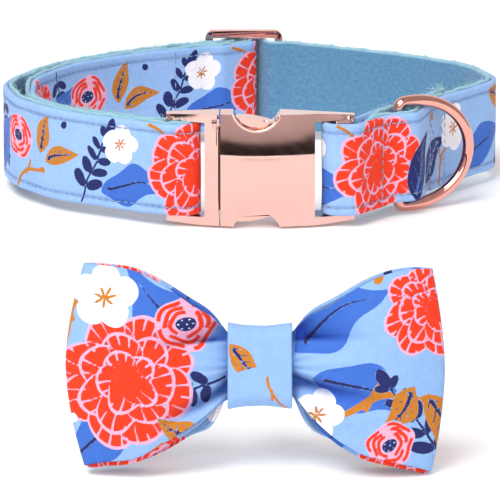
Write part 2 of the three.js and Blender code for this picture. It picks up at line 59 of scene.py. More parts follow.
buckle_foot = 0.7
camera_tilt = math.radians(14.5)
camera_distance = 1350
pixels_per_mm = 3.7
picture_width = 500
film_width = 36
foot_above_middle = 24  # pixels in the picture
looking = Vector((0, math.cos(camera_tilt), -math.sin(camera_tilt)))
upwards = Vector((0, math.sin(camera_tilt), math.cos(camera_tilt)))
aim = Vector((0.27, 0, buckle_foot)) - upwards * (foot_above_middle / pixels_per_mm)
camera_data = bpy.data.cameras.new("camera")
camera_data.sensor_width = film_width
camera_data.lens = pixels_per_mm * camera_distance / picture_width * film_width
camera_data.clip_end = 20
camera = bpy.data.objects.new("camera", camera_data)
camera.location = Vector(in_frame(aim - looking * camera_distance))
camera.rotation_euler = (math.pi / 2 - camera_tilt, 0, 0)
bpy.context.collection.objects.link(camera)
bpy.context.scene.camera = camera

# Floor and light. A plain white table, lit faintly from below, in a light tent: even light from above, a
# soft light from the upper left, and a dark opening behind the camera, which shows as a band in the metal.
bpy.context.scene.view_settings.view_transform = "Standard"


def joined(tree, made, links):
    """Gives a node's inputs, by name or place, a value or another node's output."""
    for socket, source in links.items():
        if isinstance(source, bpy.types.NodeSocket):
            tree.links.new(source, made.inputs[socket])
        else:
            made.inputs[socket].default_value = source
    return made


def node(tree, kind, links=None, **settings):
    """Adds a node with these settings and fills its inputs."""
    made = tree.nodes.new(kind)
    for setting, value in settings.items():
        setattr(made, setting, value)
    return joined(tree, made, links or {})


def ranged(tree, value, low, high, to_low=0.0, to_high=1.0, **settings):
    """A value between low and high, as one between to_low and to_high."""
    ends = {"From Min": low, "From Max": high, "To Min": to_low, "To Max": to_high}
    return node(tree, "ShaderNodeMapRange", {"Value": value, **ends}, **settings).outputs["Result"]


def mixed(tree, share, first, second, blend="MIX"):
    """Mixes two colours."""
    return node(tree, "ShaderNodeMix", {0: share, 6: first, 7: second}, data_type="RGBA",
                blend_type=blend).outputs[2]


def new_finish(name):
    """A new material, with its tree of nodes and its shader."""
    material = bpy.data.materials.new(name)
    material.use_nodes = True
    return material, material.node_tree, material.node_tree.nodes["Principled BSDF"]


floor_mesh = bpy.data.meshes.new("floor")
floor_build = bmesh.new()
bmesh.ops.create_grid(floor_build, x_segments=1, y_segments=1, size=6)
floor_build.to_mesh(floor_mesh)
floor_build.free()
floor = bpy.data.objects.new("floor", floor_mesh)
bpy.context.collection.objects.link(floor)
floor_paper, paper, paper_shader = new_finish("floor paper")
grain = node(paper, "ShaderNodeTexNoise", {"Scale": 4.0, "Detail": 3.0}).outputs["Fac"]
joined(paper, paper_shader, {"Base Color": ranged(paper, grain, 0, 1, 0.93, 0.95), "Roughness": 0.9,
                             "Emission Color": (1, 0.99, 0.99, 1), "Emission Strength": 0.09})
floor_mesh.materials.append(floor_paper)

tent = bpy.data.worlds.new("light tent")
tent.use_nodes = True
bpy.context.scene.world = tent
tent_tree = tent.node_tree
direction = node(tent_tree, "ShaderNodeTexCoord").outputs["Generated"]
facing = node(tent_tree, "ShaderNodeSeparateXYZ", {0: direction})
band = node(tent_tree, "ShaderNodeValToRGB", {0: facing.outputs["Z"]})
for height, shade in ((0.083, 0.07), (0.105, 1.1), (0.13, 1.55), (0.24, 1.9)):
    stop = band.color_ramp.elements.new(height)
    stop.color = (shade, shade * 0.92, shade * 0.93, 1)
band.color_ramp.elements[0].color = (0.05, 0.042, 0.045, 1)
band.color_ramp.elements[-1].color = (1, 1, 1, 1)
at_the_back = ranged(tent_tree, facing.outputs["Y"], 0.3, 0.85)
wall = mixed(tent_tree, at_the_back, (1, 1, 1, 1), (2.6, 2.6, 2.6, 1))
at_the_front = ranged(tent_tree, facing.outputs["Y"], -0.75, -0.45, 1.0, 0.0)
tent_cloth = mixed(tent_tree, at_the_front, wall, band.outputs["Color"])
joined(tent_tree, tent_tree.nodes["Background"], {"Color": tent_cloth, "Strength": 0.38})

for name, place, size, power in (
    ("key light", (-1.1, -1.5, 2.9), 2.2, 92),
    ("fill light", (0.6, -3.2, 1.9), 2.4, 34),
):
    lamp = bpy.data.lights.new(name, "AREA")
    lamp.shape = "DISK"
    lamp.size = size
    lamp.energy = power
    light = bpy.data.objects.new(name, lamp)
    light.location = place
    light.rotation_euler = (-Vector(place)).to_track_quat("-Z", "Y").to_euler()
    light.visible_camera = False
    bpy.context.collection.objects.link(light)

# Strap. One strip of inch webbing covered in printed cotton, folded over at its edges. It starts at the cut
# end inside the D-ring, goes round the buckle's right bar and the neck to the slider, comes back round the
# left of the neck to the plug's bar, and returns inside to the slider, where its tail is sewn down.
strap_width = 25.4
strap_bottom = 3.2
cover_thick = 1.5
strap_route = (  # x, y, radius of the turn, share of the full thickness
    (52.0, 45.3, 0, 1), (42.6, 29.6, 10, 1), (36.2, 23.0, 7, 1), (27.4, 9.4, 5, 1), (19.6, 9.4, 4.4, 1),
    (19.6, 0.6, 4.4, 1), (29.3, 0.6, 5, 1), (38.0, 12.1, 8, 1), (46.3, 14.2, 5, 1), (51.2, 31.5, 30, 1),
    (71.1, 57.6, 14, 1), (64.0, 77.0, 25, 1), (46.0, 91.4, 60, 1), (24.0, 102.1, 60, 0.75),
    (11.9, 107.9, 6, 0.75), (7.26, 107.9, 0.6, 0.75), (-1.5, 119.8, 6.1, 0.75), (-10.26, 107.9, 0.6, 0.75),
    (-13.5, 107.9, 6, 0.75), (-24.0, 102.74, 60, 0.75), (-36.5, 96.6, 60, 1), (-57.5, 78.5, 45, 1),
    (-69.9, 53.5, 22, 1), (-65.0, 34.2, 25, 1), (-53.5, 18.6, 40, 1), (-22.3, 0.6, 5, 1),
    (-13.0, 0.6, 4.4, 1), (-13.0, 9.4, 4.4, 1), (-24.8, 9.4, 8, 1), (-49.1, 23.5, 33, 1),
    (-59.2, 37.3, 22, 1), (-59.5, 57.9, 22, 1), (-51.2, 75.4, 38, 1), (-33.0, 91.1, 50, 1),
    (-22.5, 95.6, 50, 0.75), (-11.9, 100.9, 5, 0.75), (-7.48, 100.9, 3, 0.75), (2.2, 107.55, 3.7, 0.75),
    (2.2, 113.2, 3.7, 0.75), (-3.38, 113.2, 3.7, 0.75), (-9.05, 105.5, 3, 0.75), (-12.95, 105.5, 4, 0.75),
    (-20.0, 102.0, 0, 0.75),
)


def walk(route, step):
    """Places along a route of straight runs and round turns: x, y, the direction to the left, thickness."""
    xy = np.array([row[:2] for row in route], float)
    headings = np.arctan2(np.diff(xy[:, 1]), np.diff(xy[:, 0]))
    found = [(*xy[0], headings[0], route[0][3])]
    for k in range(1, len(route) - 1):
        turn = math.remainder(headings[k] - headings[k - 1], 2 * math.pi)
        radius, share = route[k][2], route[k][3]
        reach, side = radius * math.tan(abs(turn) / 2), math.copysign(radius, turn)
        into = headings[k - 1]
        start = xy[k] - reach * np.array((math.cos(into), math.sin(into)))
        centre = start + side * np.array((-math.sin(into), math.cos(into)))
        for angle in into + turn * np.linspace(0, 1, max(3, int(abs(turn) * radius / step) + 2)):
            x, y = centre + side * np.array((math.sin(angle), -math.cos(angle)))
            found.append((x, y, angle, share))
    found.append((*xy[-1], headings[-1], route[-1][3]))
    table = np.array(found)
    table[:, 2] = np.unwrap(table[:, 2])
    along = np.concatenate(([0], np.cumsum(np.hypot(*np.diff(table[:, :2], axis=0).T))))
    keep = np.concatenate(([True], np.diff(along) > 1e-4))
    return along[keep], table[keep]


strap_along, strap_table = walk(strap_route, 0.3)
strap_length = strap_along[-1]
tunnel_x, tunnel_y = 44.6, 19.4  # the middle of the ring's tunnel, where the strap's lower edge is lifted
tunnel_lift = 0.8


def eased(share):
    """A rise from 0 to 1 that starts and ends level."""
    return share ** 2 * (3 - 2 * share)


def on_strap(along, across, depth):
    """Points of the strap: along it from the cut end, up from its lower edge, and in from its print."""
    along, across, depth = np.broadcast_arrays(along, across, depth)
    x, y, heading, share = (np.interp(along, strap_along, strap_table[:, k]) for k in range(4))
    near_tunnel = np.clip((12 - np.hypot(x - tunnel_x, y - tunnel_y)) / 3.4, 0, 1)
    low = strap_bottom + tunnel_lift * eased(near_tunnel)
    z = low + across * (strap_bottom + strap_width - low) / strap_width
    deep = depth * share
    return in_frame(np.stack((x - np.sin(heading) * deep, y + np.cos(heading) * deep, z), -1))


def strap_place(x, y, start=0.0, end=strap_length):
    """How far along the strap, between start and end, its print comes nearest to x, y."""
    away = np.hypot(strap_table[:, 0] - x, strap_table[:, 1] - y)
    away[(strap_along < start) | (strap_along > end)] = 1e9
    return float(strap_along[np.argmin(away)])


over_bar = strap_place(-1.5, 115.6)
strap_sides = (  # side, start and end along the strap, the half of the buckle that it holds
    ("right", 0, over_bar, "buckle_socket"), ("left", over_bar + 0.06, strap_length, "buckle_plug"))

# The print: a garden of round coral blossoms, blue and navy leaves, white flowers and brown twigs on sky
# blue, laid on the cloth ink by ink. Each place on the cloth keeps its distance to the edge of every ink.
ink_shades = {"leaf": "3F6FCB", "navy": "232B66", "coral": "F23C1C", "pink": "F3AFCB", "white": "F8F5FB",
              "ochre": "C87D28"}
inks = tuple(ink_shades)
ink_trios = (("inks_a", inks[:3]), ("inks_b", inks[3:]))
no_ink_near = 5.0


def leaf_inks(x, y, size, ink):
    """A pointed, slightly waved leaf with its midrib, from its stalk at 0 to its tip at size."""
    run = np.clip(x / size, 0, 1)
    bowed = y - 0.11 * size * np.sin(np.pi * run)
    wave = 1 + (0.16 if ink == "leaf" else 0.03) * np.sin(9.5 * run + 2 * np.sign(bowed))
    half = 0.25 * size * np.sin(np.pi * run ** 0.8) * (1 - 0.2 * run) * wave
    edge = np.maximum(np.abs(bowed) - half, np.maximum(-x, x - size)) * 0.9
    rib = np.maximum(np.abs(bowed) - 0.5 * (1.05 - run), np.maximum(0.1 * size - x, x - 0.85 * size))
    layers = [(ink, edge), ("leaf" if ink == "navy" else "navy", rib)]
    if ink != "leaf":
        slant = np.abs(np.mod(x - np.abs(bowed) * 1.1, 0.17 * size) - 0.085 * size) - 0.2
        layers.append((layers[1][0], np.maximum(slant, np.maximum(edge + 0.06 * size, rib - 0.17 * size))))
    return layers


def twig_inks(x, y, size, ink):
    """A bowed twig with a short fork."""
    run = np.clip(x / size, 0, 1)
    bowed = y - 0.16 * size * np.sin(np.pi * run)
    thick = 0.2 + 0.024 * size
    stem = np.maximum(np.abs(bowed) - thick, np.maximum(-x, x - size))
    along, off = (x - 0.45 * size) * 0.8 + y * 0.6, -(x - 0.45 * size) * 0.6 + (y - 0.14 * size) * 0.8
    fork = np.maximum(np.abs(off) - 0.8 * thick, np.maximum(-along, along - 0.4 * size))
    return [(ink, stem), (ink, fork), (ink, np.hypot(x - size, bowed) - 1.7 * thick)]


def sprig_inks(x, y, size, ink):
    """A straight stem with pairs of small round leaves and one at its tip."""
    layers = [(ink, np.maximum(np.abs(y) - 0.28, np.maximum(-x, x - 0.9 * size)))]
    for k in range(5):
        foot = (0.18 + 0.17 * k) * size
        for side in (-1, 1):
            along, off = (x - foot) * 0.62 + side * y * 0.78, -(x - foot) * 0.78 + side * y * 0.62
            reach = 0.24 * size * (1 - 0.1 * k)
            middle = reach * 0.56
            layers.append((ink, np.hypot((along - middle) / 1.9, off) - reach * 0.25))
    layers.append((ink, np.hypot((x - 0.98 * size) / 1.9, y) - 0.055 * size))
    return layers


def daisy_inks(x, y, size, ink):
    """Five round white petals about a brown star."""
    angle, away = np.arctan2(y, x), np.hypot(x, y)
    petals = away - size * (0.36 + 0.14 * np.abs(np.cos(2.5 * angle)) ** 0.6)
    star = away - size * (0.09 + 0.09 * np.cos(7 * angle))
    return [("white", petals * 0.85), ("ochre", star * 0.7)]


def blossom_inks(x, y, size, ink):
    """A full blossom: three rings of coral petals, each with a pink rim and strokes that run in from it."""
    radius = size / 2
    layers = []
    for petals, at, length, breadth, turn in (
            (8, 0.64, 0.38, 0.37, 0.0), (7, 0.40, 0.36, 0.31, 0.5), (5, 0.18, 0.3, 0.25, 0.2)):
        for k in range(petals):
            lean = 2 * np.pi * (k + turn + 0.1 * math.sin(3 * k)) / petals
            out = x * math.cos(lean) + y * math.sin(lean) - radius * at
            side = -x * math.sin(lean) + y * math.cos(lean)
            a, b = radius * length * (1 + 0.08 * math.sin(5 * k)), radius * breadth
            rim = (np.hypot(out / a, side / b) - 1) * b
            within = (np.hypot((out + 0.09 * a) / a, side / b) - 0.96) * b
            foot = out + 1.25 * a
            fan = np.arctan2(side, foot) / 0.25
            blade = np.round(fan)
            stroke = np.abs(fan - blade) * 0.25 * foot + 0.03 - 0.23 * np.clip(out / a + 0.4, 0, 1.2)
            start = 0.2 * a * (1 + 2 * np.cos(blade * 2.4 + k)) - out
            layers += [("coral", rim), ("pink", np.maximum(rim, -within)),
                       ("pink", np.maximum(rim + 0.1, np.maximum(stroke, start)))]
    return layers


def bud_inks(x, y, size, ink):
    """A small open rose: broken rings of coral petals on pink, round a dark eye with white dots."""
    across, up = x - 0.5 * size, y * 1.12
    away, angle = np.hypot(across, up), np.arctan2(up, across)
    layers = [("pink", away - size * (0.47 + 0.02 * np.cos(5 * angle)))]
    for k, at in enumerate((0.41, 0.31, 0.22)):
        gap = 0.09 * size * (np.cos((4 - k) * angle + 1.9 * k) - 0.8)
        ring = np.abs(away - at * size * (1 + 0.05 * np.cos(5 * angle + k))) - 0.034 * size
        layers.append(("coral", np.maximum(ring, gap)))
    layers.append(("navy", np.hypot(across, up * 1.2) - 0.15 * size))
    for k in range(7):
        at = (0.02 + 0.085 * (k > 0)) * size
        dot = np.hypot(across - at * math.cos(k * 1.05), up * 1.2 - at * math.sin(k * 1.05)) - 0.017 * size
        layers.append(("white", dot))
    return layers


def drop_inks(x, y, size, ink):
    """A single round drop."""
    return [(ink, np.hypot(x, y) - size / 2)]


drawn = {"leaf": leaf_inks, "twig": twig_inks, "sprig": sprig_inks, "daisy": daisy_inks,
         "blossom": blossom_inks, "bud": bud_inks, "drop": drop_inks}


def inked(cloth, motifs, wave=0.35):
    """Lays motifs (kind, across x, up y, turn in degrees, size, ink) on cloth, an (n, 2) table in mm."""
    distance = {ink: np.full(len(cloth), no_ink_near) for ink in inks}
    x0, y0 = cloth[:, 0], cloth[:, 1]
    x0, y0 = x0 + wave * np.sin(y0 / 1.9 + x0 / 7), y0 + wave * np.sin(x0 / 2.3 + y0 / 5)
    for kind, u, v, turn, size, ink in motifs:
        reach = size * (0.6 if kind in ("blossom", "daisy", "drop") else 1.1) + 2
        near = np.nonzero(np.hypot(x0 - u, y0 - v) < reach)[0]
        if not len(near):
            continue
        lean = math.radians(turn)
        x, y = x0[near] - u, y0[near] - v
        x, y = x * math.cos(lean) + y * math.sin(lean), -x * math.sin(lean) + y * math.cos(lean)
        for used, area in drawn[kind](x, y, size, ink):
            for other in inks:
                distance[other][near] = np.maximum(distance[other][near], -area)
            distance[used][near] = np.minimum(distance[used][near], area)
    return distance


def patch(rings, around, hoop=False, tube=False):
    """Faces over rings of points: hoop joins the last ring to the first, and tube the ends of each ring."""
    here = np.arange(rings if hoop else rings - 1)[:, None] * around
    after = (here + around) % (rings * around)
    point = np.arange(around if tube else around - 1)
    beside = (point + 1) % around
    return np.stack((here + point, after + point, after + beside, here + beside), -1).reshape(-1, 4).tolist()


def shut_tube(rings, around):
    """The faces of a tube that is shut at both ends."""
    last = (rings - 1) * around
    return patch(rings, around, tube=True) + [list(range(around)), list(range(last, last + around))]


def cloth_mesh(name, points, cloth, distance, faces, material, crease_shade=0.0):
    """A mesh of points with, on each, its place on the flat cloth in mm and its distance to each ink's edge.

    The third number of its place is painted shade, from 0 to 1, which darkens the cloth in its creases and
    seam channels."""
    mesh = bpy.data.meshes.new(name)
    mesh.from_pydata(points.reshape(-1, 3).tolist(), [], faces)
    columns = {"cloth_mm_and_shade": (*cloth.T, np.broadcast_to(crease_shade, len(cloth)))}
    for label, trio in ink_trios:
        columns[label] = [distance[ink] for ink in trio]
    for label, values in columns.items():
        attribute = mesh.attributes.new(label, "FLOAT_VECTOR", "POINT")
        attribute.data.foreach_set("vector", np.column_stack(values).ravel())
    mesh.shade_smooth()
    mesh.materials.append(material)
    return mesh


def turned_out(mesh):
    """Merges what meets and turns every face of a closed mesh outwards."""
    build = bmesh.new()
    build.from_mesh(mesh)
    bmesh.ops.remove_doubles(build, verts=build.verts, dist=1e-7)
    bmesh.ops.recalc_face_normals(build, faces=build.faces)
    build.to_mesh(mesh)
    build.free()
    return mesh


def piece(mesh, body, slot, *nodes):
    """Shows a mesh as a piece of its own name that rides on a body and stands for these nodes."""
    made = bpy.data.objects.new(mesh.name, mesh)
    bpy.context.collection.objects.link(made)
    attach(made, body)
    if nodes:
        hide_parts(*nodes)
    return made


def dye(code):
    """A colour written as on a paint card, such as 9DC1EF, in linear light."""
    parts = [int(code[k:k + 2], 16) / 255 for k in (0, 2, 4)]
    linear = [part / 12.92 if part <= 0.04045 else ((part + 0.055) / 1.055) ** 2.4 for part in parts]
    return (*linear, 1)


def noise(tree, place, scale, detail=2.0, **more):
    """Soft noise from 0 to 1 over a place."""
    links = {"Vector": place, "Scale": scale, "Detail": detail, **more}
    return node(tree, "ShaderNodeTexNoise", links).outputs["Fac"]


def worked(tree, operation, first, second):
    """A sum or a product of two numbers."""
    return node(tree, "ShaderNodeMath", {0: first, 1: second}, operation=operation).outputs[0]


def bumped(tree, height, strength, distance):
    """The shading of a relief whose full height is a distance in metres."""
    links = {"Height": height, "Strength": strength, "Distance": distance}
    return node(tree, "ShaderNodeBump", links).outputs["Normal"]


def printed_cotton(name, ground):
    """Plain woven cotton, reactive printed: flat matt inks with soft edges over a fine visible weave."""
    material, tree, shader = new_finish(name)
    place = node(tree, "ShaderNodeAttribute", attribute_name="cloth_mm_and_shade").outputs["Vector"]
    flat = node(tree, "ShaderNodeVectorMath", {0: place, 1: (1, 1, 0)}, operation="MULTIPLY").outputs[0]
    crease_shade = node(tree, "ShaderNodeSeparateXYZ", {0: place}).outputs["Z"]
    colour = mixed(tree, noise(tree, flat, 0.16, 4.0), dye(ground), dye("8FB6EC"))
    ragged = ranged(tree, noise(tree, flat, 1.1, 3.0), 0, 1, -0.14, 0.14)
    for label, trio in ink_trios:
        edges = node(tree, "ShaderNodeAttribute", attribute_name=label).outputs["Vector"]
        parted = node(tree, "ShaderNodeSeparateXYZ", {0: edges})
        for ink, axis in zip(trio, "XYZ"):
            frayed = worked(tree, "ADD", parted.outputs[axis], ragged)
            inside = ranged(tree, frayed, 0.08, -0.08, interpolation_type="SMOOTHSTEP")
            colour = mixed(tree, inside, colour, dye(ink_shades[ink]))
    # Painted shade: the colour is multiplied towards deep blue where the cloth lies down in a crease or seam
    # channel.
    colour = mixed(tree, crease_shade, colour, (0.16, 0.25, 0.5, 1), "MULTIPLY")
    washed = ranged(tree, noise(tree, flat, 0.7, 5.0), 0, 1, 0.86, 1.12)
    threads = []
    for turn in (38, -52):
        laid = node(tree, "ShaderNodeVectorRotate", {"Vector": flat, "Angle": math.radians(turn)},
                    rotation_type="Z_AXIS").outputs[0]
        threads.append(node(tree, "ShaderNodeTexWave", {"Vector": laid, "Scale": 0.72, "Distortion": 1.6,
                                                        "Detail": 2.0, "Detail Scale": 1.4}).outputs["Fac"])
    weave = worked(tree, "MULTIPLY", *threads)
    cloth = worked(tree, "ADD", weave, noise(tree, flat, 2.6))
    toned = worked(tree, "MULTIPLY", washed, ranged(tree, cloth, 0.2, 1.3, 0.84, 1.12))
    shaded = node(tree, "ShaderNodeVectorMath", {0: colour, "Scale": toned}, operation="SCALE").outputs[0]
    joined(tree, shader, {"Base Color": shaded, "Normal": bumped(tree, cloth, 0.35, 0.00012),
                          "Roughness": 0.85, "Specular IOR Level": 0.25, "Sheen Weight": 0.12,
                          "Sheen Roughness": 0.4})
    return material


strap_cotton = printed_cotton("strap cotton", "A3C6F2")
strap_motifs = (  # one length of the print, which comes again all along the strap
    ("leaf", -3, 2, 58, 21, "leaf"), ("twig", 12, 1, 28, 14, "ochre"), ("bud", 5, 15, 0, 15, "coral"),
    ("leaf", 24, 12, 74, 12, "ochre"), ("leaf", 26, 10, 18, 12, "ochre"), ("drop", 33, 21.5, 0, 2, "navy"),
    ("sprig", 38, 1, 66, 24, "navy"), ("leaf", 45, 4, 8, 22, "leaf"), ("daisy", 51, 18, 10, 11, "white"),
    ("twig", 60, 25, -48, 12, "ochre"), ("blossom", 75, 12, 12, 30, "coral"), ("leaf", 88, 0, 66, 21, "navy"),
    ("leaf", 95, 3, 36, 19, "navy"), ("drop", 102, 21, 0, 2.2, "ochre"), ("twig", 107, 1, 62, 13, "ochre"),
    ("daisy", 114, 16, 0, 13, "white"), ("leaf", 119, 3, 22, 23, "leaf"), ("leaf", 131, 23, -32, 16, "ochre"),
    ("leaf", 136, 2, 14, 17, "navy"), ("blossom", 154, 13, 40, 26, "coral"),
    ("sprig", 168, 25, -72, 20, "navy"),
)
print_length = 170
strap_print = [(kind, u + print_length * turnover, v, turn, size, ink)
               for turnover in range(-1, 5) for kind, u, v, turn, size, ink in strap_motifs]

edge_roll = 0.7
seam_rows = (2.4, strap_width - 2.4)
front_rows = np.linspace(0, strap_width, 64)
from_edge = np.minimum(front_rows, strap_width - front_rows)
front_depth = edge_roll - np.sqrt(edge_roll ** 2 - np.clip(edge_roll - from_edge, 0, edge_roll) ** 2)
seam_channel = sum(np.exp(-((front_rows - row) / 0.5) ** 2) for row in seam_rows)
back_rows = np.array((25.35, 25.1, 24, 19, 12.7, 6.4, 1.4, 0.3, 0.05))
back_depth = np.array((1.1, 1.42, 1.5, 1.5, 1.5, 1.5, 1.5, 1.42, 1.1))
back_on_cloth = 40  # how far up on the flat cloth the rows at the back lie
around_cover = len(front_rows) + len(back_rows)


def strap_cover(name, start, end):
    """The cotton cover between two places along the strap, with its edges rolled round the webbing."""
    steps = np.linspace(start, end, int((end - start) / 0.42) + 2)[:, None]
    along = np.repeat(steps, around_cover, 1)
    across = np.tile(np.concatenate((front_rows, back_rows)), (len(steps), 1))
    depth = np.tile(np.concatenate((front_depth + 0.2 * seam_channel, back_depth)), (len(steps), 1))
    puckers = 0.07 * np.cos(2 * np.pi * steps / 2.1) * np.exp(-((from_edge - 1.9) / 1.1) ** 2)
    slack = (0.09 * np.sin(steps / 6.3) * np.sin(front_rows / 5 + steps / 9)
             + 0.05 * np.sin(steps / 2.2 + front_rows / 3.1))
    depth[:, :len(front_rows)] += puckers + slack
    across += 0.12 * np.sin(along / 4.1) * (across / strap_width - 0.5)
    on_cloth = across.copy()
    on_cloth[:, len(front_rows):] += back_on_cloth
    cloth = np.column_stack((along.ravel(), on_cloth.ravel()))
    # Painted shade in the stitched channels along the strap's edges, which darkens the print there.
    seam_shade = np.tile(np.concatenate((seam_channel * 0.3, back_rows * 0)), len(steps))
    return turned_out(cloth_mesh(name, on_strap(along, across, depth), cloth, inked(cloth, strap_print),
                                 shut_tube(len(steps), around_cover), strap_cotton, seam_shade))


for side, start, end, buckle in strap_sides:
    cover_mesh = strap_cover(f"strap_{side}_cotton", start, end)
    cover = piece(cover_mesh, "collar", "printed_cotton", f"strap_{side}")

# Felt lining. A strip of soft blue felt sewn to the inner side of the strap. It is cut, not hemmed, so its
# edge stands up a little behind the cotton and is hairy all along.
felt_near = cover_thick + 0.12
felt_thick = 1.18
felt_far = felt_near + felt_thick
felt_middle = (felt_near + felt_far) / 2
round_buckle_bar = strap_place(17.8, 5.0, 40, 65)


def felt_cloth(name, deep, pale):
    """Felt: matted fibres that catch the light, with a painted highlight: paler along the cut upper edge,
    which faces the light.
    """
    material, tree, shader = new_finish(name)
    flat = node(tree, "ShaderNodeAttribute", attribute_name="cloth_mm_and_shade").outputs["Vector"]
    fibres = noise(tree, flat, 3.2, 4.0, Distortion=1.5)
    matted = worked(tree, "ADD", noise(tree, flat, 0.9, 6.0, Roughness=0.65), fibres)
    felted = mixed(tree, ranged(tree, matted, 0.7, 1.3), dye(deep), dye(pale))
    up = node(tree, "ShaderNodeSeparateXYZ", {0: flat}).outputs["Y"]
    # Painted highlight: the felt turns paler along its cut upper edge.
    edge_highlight = ranged(tree, worked(tree, "ADD", up, fibres), 25.3, 26.1)
    joined(tree, shader, {"Base Color": mixed(tree, edge_highlight, felted, dye("9CCBDB")),
                          "Normal": bumped(tree, matted, 0.6, 0.0003), "Roughness": 1.0,
                          "Specular IOR Level": 0.1, "Sheen Weight": 0.35, "Sheen Roughness": 0.5})
    return material


lining_felt = felt_cloth("lining felt", "487CA3", "6FA0C1")
felt_profile = np.array(  # up from the strap's lower edge, in from its print
    [(row, felt_near) for row in (0.5, 5, 12.7, 20, 25.2)]
    + [(25.7, felt_near + 0.2), (25.85, felt_middle), (25.7, felt_far - 0.15)]
    + [(row, felt_far) for row in (25.2, 22, 19, 16, 12.7, 9.5, 6.5, 3.5, 0.4)]
    + [(0.0, felt_far - 0.2), (-0.1, felt_middle), (0.1, felt_near + 0.15)])


def felt_strip(name, start, end):
    """The felt between two places along the strap, with a cut edge that isn't quite straight."""
    steps = np.linspace(start, end, int((end - start) / 0.7) + 2)[:, None]
    along = np.repeat(steps, len(felt_profile), 1)
    across, depth = (np.tile(felt_profile[:, k], (len(steps), 1)) for k in (0, 1))
    tucked = eased(np.clip((22 - np.abs(steps - round_buckle_bar)) / 8, 0, 1))
    waves = 0.13 * np.sin(steps / 1.7) + 0.1 * np.sin(steps / 0.83 + 1) + 0.07 * np.sin(steps / 0.41)
    rows, deep = felt_profile.T
    across += np.where(rows > 25, 1, np.where(rows < 0.6, -0.2, 0)) * (waves - 1.7 * tucked)
    depth += 0.05 * np.sin(steps / 2.3 + across / 2.7) * (deep > felt_middle)
    # The top of the cut edge is moved up the flat cloth, so that the painted highlight covers it.
    highlight_lift = 0.9 * (np.abs(deep - felt_middle) < 0.5) * (across > 20)
    cloth = np.column_stack((along.ravel(), (across + highlight_lift).ravel()))
    blank = {ink: np.full(len(cloth), no_ink_near) for ink in inks}
    return turned_out(cloth_mesh(name, on_strap(along, across, depth), cloth, blank,
                                 shut_tube(len(steps), len(felt_profile)), lining_felt))


for side, start, end, buckle in strap_sides:
    strip = piece(felt_strip(f"felt_{side}_lining", start, end), "collar", "felt_lining", f"felt_{side}")

# Felt hairs. Loose fibres stand out of the felt's cut upper edge, and more of them out of the frayed end of
# the strap inside the ring. They grow along the edge from one small bent fibre.


def grown_tree(name, sockets):
    """A new Geometry Nodes tree with a geometry input, these named number inputs and a geometry output."""
    tree = bpy.data.node_groups.new(name, "GeometryNodeTree")
    tree.interface.new_socket("Geometry", in_out="INPUT", socket_type="NodeSocketGeometry")
    for label, value in sockets.items():
        socket = tree.interface.new_socket(label, in_out="INPUT", socket_type="NodeSocketFloat")
        socket.default_value = value
    tree.interface.new_socket("Geometry", in_out="OUTPUT", socket_type="NodeSocketGeometry")
    return tree, node(tree, "NodeGroupInput").outputs, node(tree, "NodeGroupOutput")


def spots_along(tree, line, apart):
    """Points at even steps along lines."""
    return node(tree, "GeometryNodeCurveToPoints", {"Curve": line, "Length": apart}, mode="LENGTH").outputs


def finished(tree, end, instances, material):
    """Ends a tree: its instances made real and given their material."""
    real = node(tree, "GeometryNodeRealizeInstances", {"Geometry": instances}).outputs[0]
    clad = node(tree, "GeometryNodeSetMaterial", {"Geometry": real, "Material": material}).outputs[0]
    joined(tree, end, {0: clad})


def grown(name, tree, lines, sizes, slot):
    """A plain piece of what a tree grows along lines of points, with sizes by the names of its inputs."""
    curve = bpy.data.curves.new(f"{name} guide", "CURVE")
    curve.dimensions = "3D"
    for line in lines:
        spline = curve.splines.new("POLY")
        spline.points.add(len(line) - 1)
        spline.points.foreach_set("co", np.column_stack((line, np.ones(len(line)))).ravel())
    guide = bpy.data.objects.new(f"{name} guide", curve)
    bpy.context.collection.objects.link(guide)
    modifier = guide.modifiers.new(tree.name, "NODES")
    modifier.node_group = tree
    for item in tree.interface.items_tree:
        if item.in_out == "INPUT" and item.name in sizes:
            modifier[item.identifier] = sizes[item.name]
    evaluated = guide.evaluated_get(bpy.context.evaluated_depsgraph_get())
    mesh = bpy.data.meshes.new_from_object(evaluated)
    mesh.name = name
    mesh.shade_smooth()
    bpy.data.objects.remove(guide)
    return piece(mesh, "collar", slot)


loose_fibre, fibre_tree, fibre_shader = new_finish("loose felt fibre")
fibre_place = node(fibre_tree, "ShaderNodeTexCoord").outputs["Object"]
fibre_colour = mixed(fibre_tree, noise(fibre_tree, fibre_place, 700.0), dye("8CC7D2"), dye("CDEAEC"))
joined(fibre_tree, fibre_shader, {"Base Color": fibre_colour, "Roughness": 0.9})

hair_tree, hair_in, hair_out = grown_tree("felt hairs", {"Spacing": 0.0004, "Hair length": 0.0011})
hair_roots = spots_along(hair_tree, hair_in["Geometry"], hair_in["Spacing"])
hair_jitter = node(hair_tree, "FunctionNodeRandomValue",
                   {0: (-0.0003, -0.0003, -0.0005), 1: (0.0003, 0.0003, 0.0001), "Seed": 3},
                   data_type="FLOAT_VECTOR")
hair_spots = node(hair_tree, "GeometryNodeSetPosition",
                  {"Geometry": hair_roots["Points"], "Offset": hair_jitter.outputs[0]})
hair_line = node(hair_tree, "GeometryNodeCurveQuadraticBezier",
                 {"Resolution": 4, "Start": (0, 0, 0), "Middle": (0.1, 0, 0.7), "End": (0.8, 0.25, 1.0)})
hair_ring = node(hair_tree, "GeometryNodeCurvePrimitiveCircle", {"Resolution": 3, "Radius": 0.034})
hair_body = node(hair_tree, "GeometryNodeCurveToMesh",
                 {"Curve": hair_line.outputs[0], "Profile Curve": hair_ring.outputs[0]})
hair_turn = node(hair_tree, "FunctionNodeRandomValue",
                 {0: (-0.7, -0.7, 0), 1: (0.7, 0.7, 6.283), "Seed": 11}, data_type="FLOAT_VECTOR")
